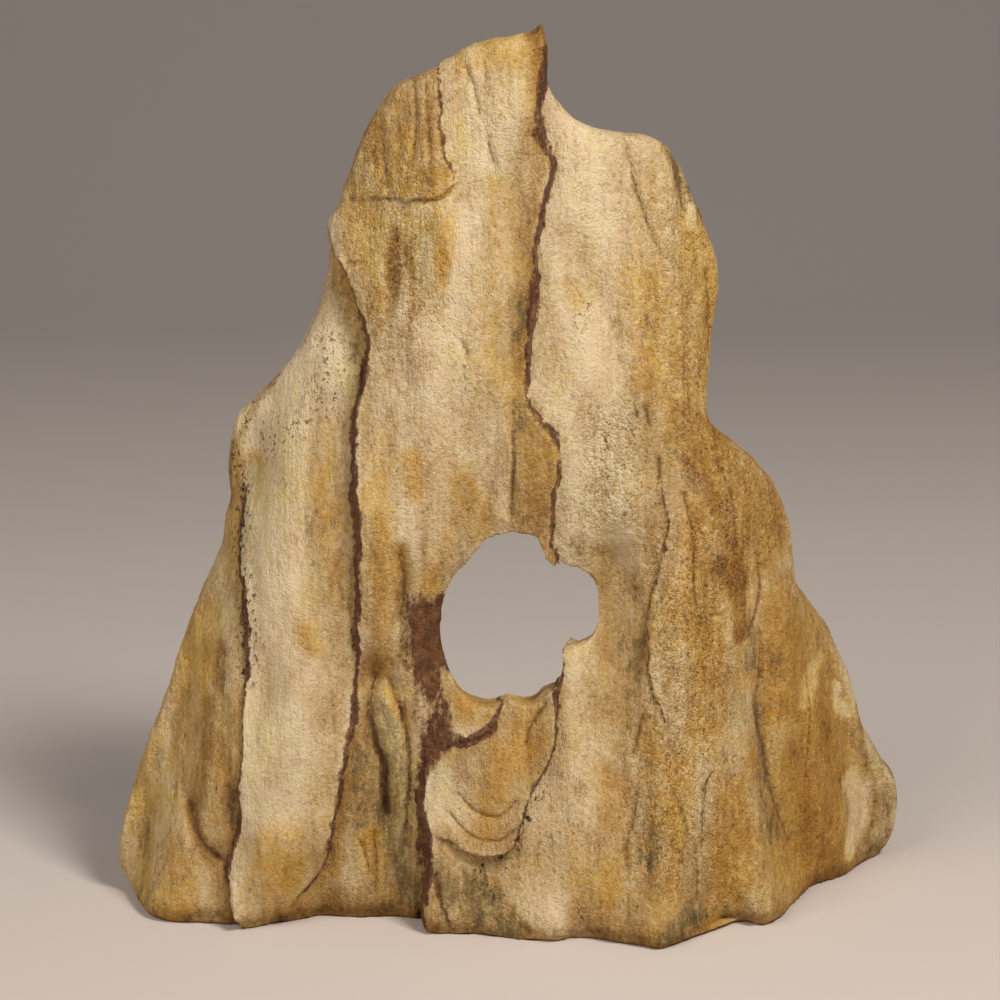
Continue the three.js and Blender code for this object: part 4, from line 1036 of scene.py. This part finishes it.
def paint_sandstone(material):
    """Sand grains in a brown cement: streaked beds, stains, painted shade in hollows and valleys, dark
    seams and a rough, dull skin.
    """
    material.use_nodes = True
    tree = material.node_tree
    shader = tree.nodes["Principled BSDF"]
    shader.inputs["Specular IOR Level"].default_value = 0.2
    coordinates = place(tree, "ShaderNodeTexCoord").outputs["Object"]
    where = scaled(tree, coordinates, 1 / MM)
    streaks = noise_at(tree, where, (2.0, 9, 16), 2.0, 0.6, 2)
    blots = noise_at(tree, where, (1.8, 1.8, 2.3), 2.0, 0.65, 5)
    hues = noise_at(tree, where, (3.4, 3.4, 5), 1.0, 0.6, 6)
    grains = place(tree, "ShaderNodeGroup", {"Vector": where}, node_tree=grain_group()).outputs
    flakes = place(tree, "ShaderNodeGroup", {"Vector": where, "Tear": blots},
                   node_tree=flake_group()).outputs[0]
    grit = stored(tree, "grit")

    fine = stirred(tree, 0.0, (streaks, 0.34), (blots, 0.6), (grains["Tone"], 0.22), (flakes, 0.1))
    odd = spread(tree, grains["Odd"], 0.92, 0.96, 0.0, 0.22)
    pale = spread(tree, grains["Odd"], 0.1, 0.06, 0.0, -0.14)
    fine = math_node(tree, "ADD", fine, math_node(tree, "ADD", odd, pale))
    iron = math_node(tree, "ADD", stored(tree, "iron"), math_node(tree, "MULTIPLY", fine, grit))
    # Darker in hollows and paler on crests: dirt and wear, together with painted shade and painted light.
    iron = math_node(tree, "ADD", iron, math_node(tree, "MULTIPLY", stored(tree, "hollow"), 0.12))

    plain = tone_ramp(tree, iron, [(227, 205, 168), (206, 182, 142), (180, 150, 102), (151, 117, 69),
                                   (115, 84, 47), (76, 55, 36)])
    golden = tone_ramp(tree, iron, [(224, 196, 138), (208, 171, 104), (186, 142, 72), (160, 114, 52),
                                    (122, 82, 38), (80, 54, 32)])
    moss_and_shade_tones = tone_ramp(tree, iron, [(198, 178, 132), (172, 151, 106), (142, 120, 78), (112, 92, 58),
                                   (84, 68, 45), (58, 48, 38)])
    gold = spread(tree, stirred(tree, stored(tree, "gold"), (hues, 0.8)), 0.05, 0.95)
    colour = mixed(tree, gold, plain, golden)
    # The mossy tones darken the colour: a real grey green bloom together with painted shade in valleys and
    # under ledges.
    moss_and_shade = stirred(tree, stored(tree, "moss_and_shade"), (hues, -1.8), (streaks, 1.2), (blots, 0.8))
    colour = mixed(tree, spread(tree, moss_and_shade, 0.25, 1.1), colour, moss_and_shade_tones)
    hue = stirred(tree, stored(tree, "hue"), (hues, 2.4), (streaks, 1.0))
    sallow = spread(tree, hue, 0.1, 0.9, 0.0, 0.45)
    colour = mixed(tree, sallow, colour, tone(247, 255, 228), "MULTIPLY")
    rosy = spread(tree, hue, -0.1, -0.9, 0.0, 0.45)
    colour = mixed(tree, rosy, colour, tone(255, 243, 238), "MULTIPLY")

    rust_edge = stirred(tree, stored(tree, "rust"), (blots, 1.0), (streaks, 0.9))
    rust = spread(tree, rust_edge, 0.12, 0.9, 0.0, 0.97)
    rust_tone = tone_ramp(tree, stirred(tree, 0.5, (blots, 1.0), (hues, 1.6), (grains["Tone"], 0.3)),
                          [(136, 92, 58), (112, 74, 47), (95, 60, 39), (80, 50, 34), (64, 41, 30)])
    colour = mixed(tree, rust, colour, rust_tone)

    line_group = dark_line_group()
    seams, cracks = (
        place(tree, "ShaderNodeGroup",
              {"Side": stored(tree, kind + " side"), "Half": stored(tree, kind + " half"), "Tear": blots,
               "Tear width": tear_width, "Edge": edge}, node_tree=line_group).outputs[0]
        for kind, tear_width, edge in (("seam", 2.6, 0.55), ("crack", 2.4, 0.6)))
    seam_tone = tone_ramp(tree, stirred(tree, 0.5, (streaks, 1.4), (blots, 1.2), (grains["Tone"], 0.5)),
                          [(140, 96, 62), (112, 74, 50), (92, 58, 43), (74, 47, 38), (58, 38, 33)])
    colour = mixed(tree, math_node(tree, "MULTIPLY", seams, 0.93), colour, seam_tone)
    # A dark brown line in each crack: partly iron stain, partly painted shade of its narrow gap.
    colour = mixed(tree, math_node(tree, "MULTIPLY", cracks, 0.6), colour, tone(84, 60, 40))

    few = spread(tree, blots, 0.56, 0.64)
    black = math_node(tree, "MULTIPLY", few, stored(tree, "specks"))
    colour = mixed(tree, black, colour, tone(58, 48, 45))
    tree.links.new(colour, shader.inputs["Base Color"])

    tree.links.new(spread(tree, streaks, 0.3, 0.7, 0.84, 0.98), shader.inputs["Roughness"])
    height = stirred(tree, 0.0, (grains["Height"], 0.34), (blots, 1.35), (streaks, 1.0))
    flaky = math_node(tree, "MULTIPLY", flakes, spread(tree, stored(tree, "rough"), 0.4, 0.9, 0.0, 0.28))
    height = math_node(tree, "MULTIPLY", math_node(tree, "ADD", height, flaky), grit)
    bump = place(tree, "ShaderNodeBump", {"Height": height, "Strength": 1.0, "Distance": MM})
    tree.links.new(bump.outputs[0], shader.inputs["Normal"])


paint_sandstone(sandstone)
stone.data.materials.clear()
stone.data.materials.append(sandstone)
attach(stone, "root")
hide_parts("sandstone")

# The place where it stands: one sheet of pale, dull paper that lies flat as a floor and curves up
# into a backdrop behind the stone.
FLOOR_HALF = 3.0
FLOOR_FRONT = -2.0
WALL_AT = 3.1
WALL_HEIGHT = 3.0
BEND = 1.6
BEND_STEPS = 24

profile = [(FLOOR_FRONT, 0.0)]
for i in range(BEND_STEPS + 1):
    angle = 0.5 * math.pi * i / BEND_STEPS
    profile.append((WALL_AT - BEND + BEND * math.sin(angle), BEND - BEND * math.cos(angle)))
profile.append((WALL_AT, WALL_HEIGHT))
sweep_vertices = [(x, y, z) for y, z in profile for x in (-FLOOR_HALF, FLOOR_HALF)]
sweep_faces = [(2 * i, 2 * i + 1, 2 * i + 3, 2 * i + 2) for i in range(len(profile) - 1)]
sweep_mesh = bpy.data.meshes.new("floor")
sweep_mesh.from_pydata(sweep_vertices, [], sweep_faces)
sweep_mesh.shade_smooth()
floor = bpy.data.objects.new("floor", sweep_mesh)
bpy.context.scene.collection.objects.link(floor)
paper = bpy.data.materials.new("pale paper")
paper.use_nodes = True
paper.node_tree.nodes["Principled BSDF"].inputs["Base Color"].default_value = tone(214, 203, 195)
paper.node_tree.nodes["Principled BSDF"].inputs["Roughness"].default_value = 0.9
floor.data.materials.append(paper)

# The light: two soft square lamps high in front, aimed at the upper half of the stone, of which the
# right one is smaller and stronger, and a low even sky.
LAMP_TINT = (1.0, 0.95, 0.88)
AIM_HEIGHT = 0.28
SKY_TINT = (0.95, 0.95, 1.0, 1.0)
SKY_STRENGTH = 0.13
for name, place_at, size, watts in (
    ("left lamp", (-0.85, -1.0, 1.3), 0.9, 10.5),
    ("right lamp", (0.75, -0.9, 1.45), 0.45, 24.5),
):
    lamp = bpy.data.lights.new(name, "AREA")
    lamp.size = size
    lamp.energy = watts
    lamp.color = LAMP_TINT
    holder = bpy.data.objects.new(name, lamp)
    holder.location = place_at
    towards = -holder.location
    towards.z += AIM_HEIGHT
    holder.rotation_euler = towards.to_track_quat("-Z", "Y").to_euler()
    bpy.context.scene.collection.objects.link(holder)
sky = bpy.data.worlds.new("sky")
sky.use_nodes = True
sky.node_tree.nodes["Background"].inputs["Color"].default_value = SKY_TINT
sky.node_tree.nodes["Background"].inputs["Strength"].default_value = SKY_STRENGTH
bpy.context.scene.world = sky
bpy.context.scene.view_settings.view_transform = "Standard"

# The camera stands in front, a little higher than the stone, and looks slightly down at it. Its
# place, tilt and lens are those that fit the stone's outline and foot line in the picture.
CAMERA_AT = (-0.006, -1.1955, 0.43)
CAMERA_DOWN = 12.33
LENS = 107.3
SENSOR = 36
camera = bpy.data.objects.new("camera", bpy.data.cameras.new("camera"))
camera.data.lens = LENS
camera.data.sensor_width = SENSOR
camera.location = CAMERA_AT
camera.rotation_euler = (math.radians(90 - CAMERA_DOWN), 0, 0)
bpy.context.scene.collection.objects.link(camera)
bpy.context.scene.camera = camera
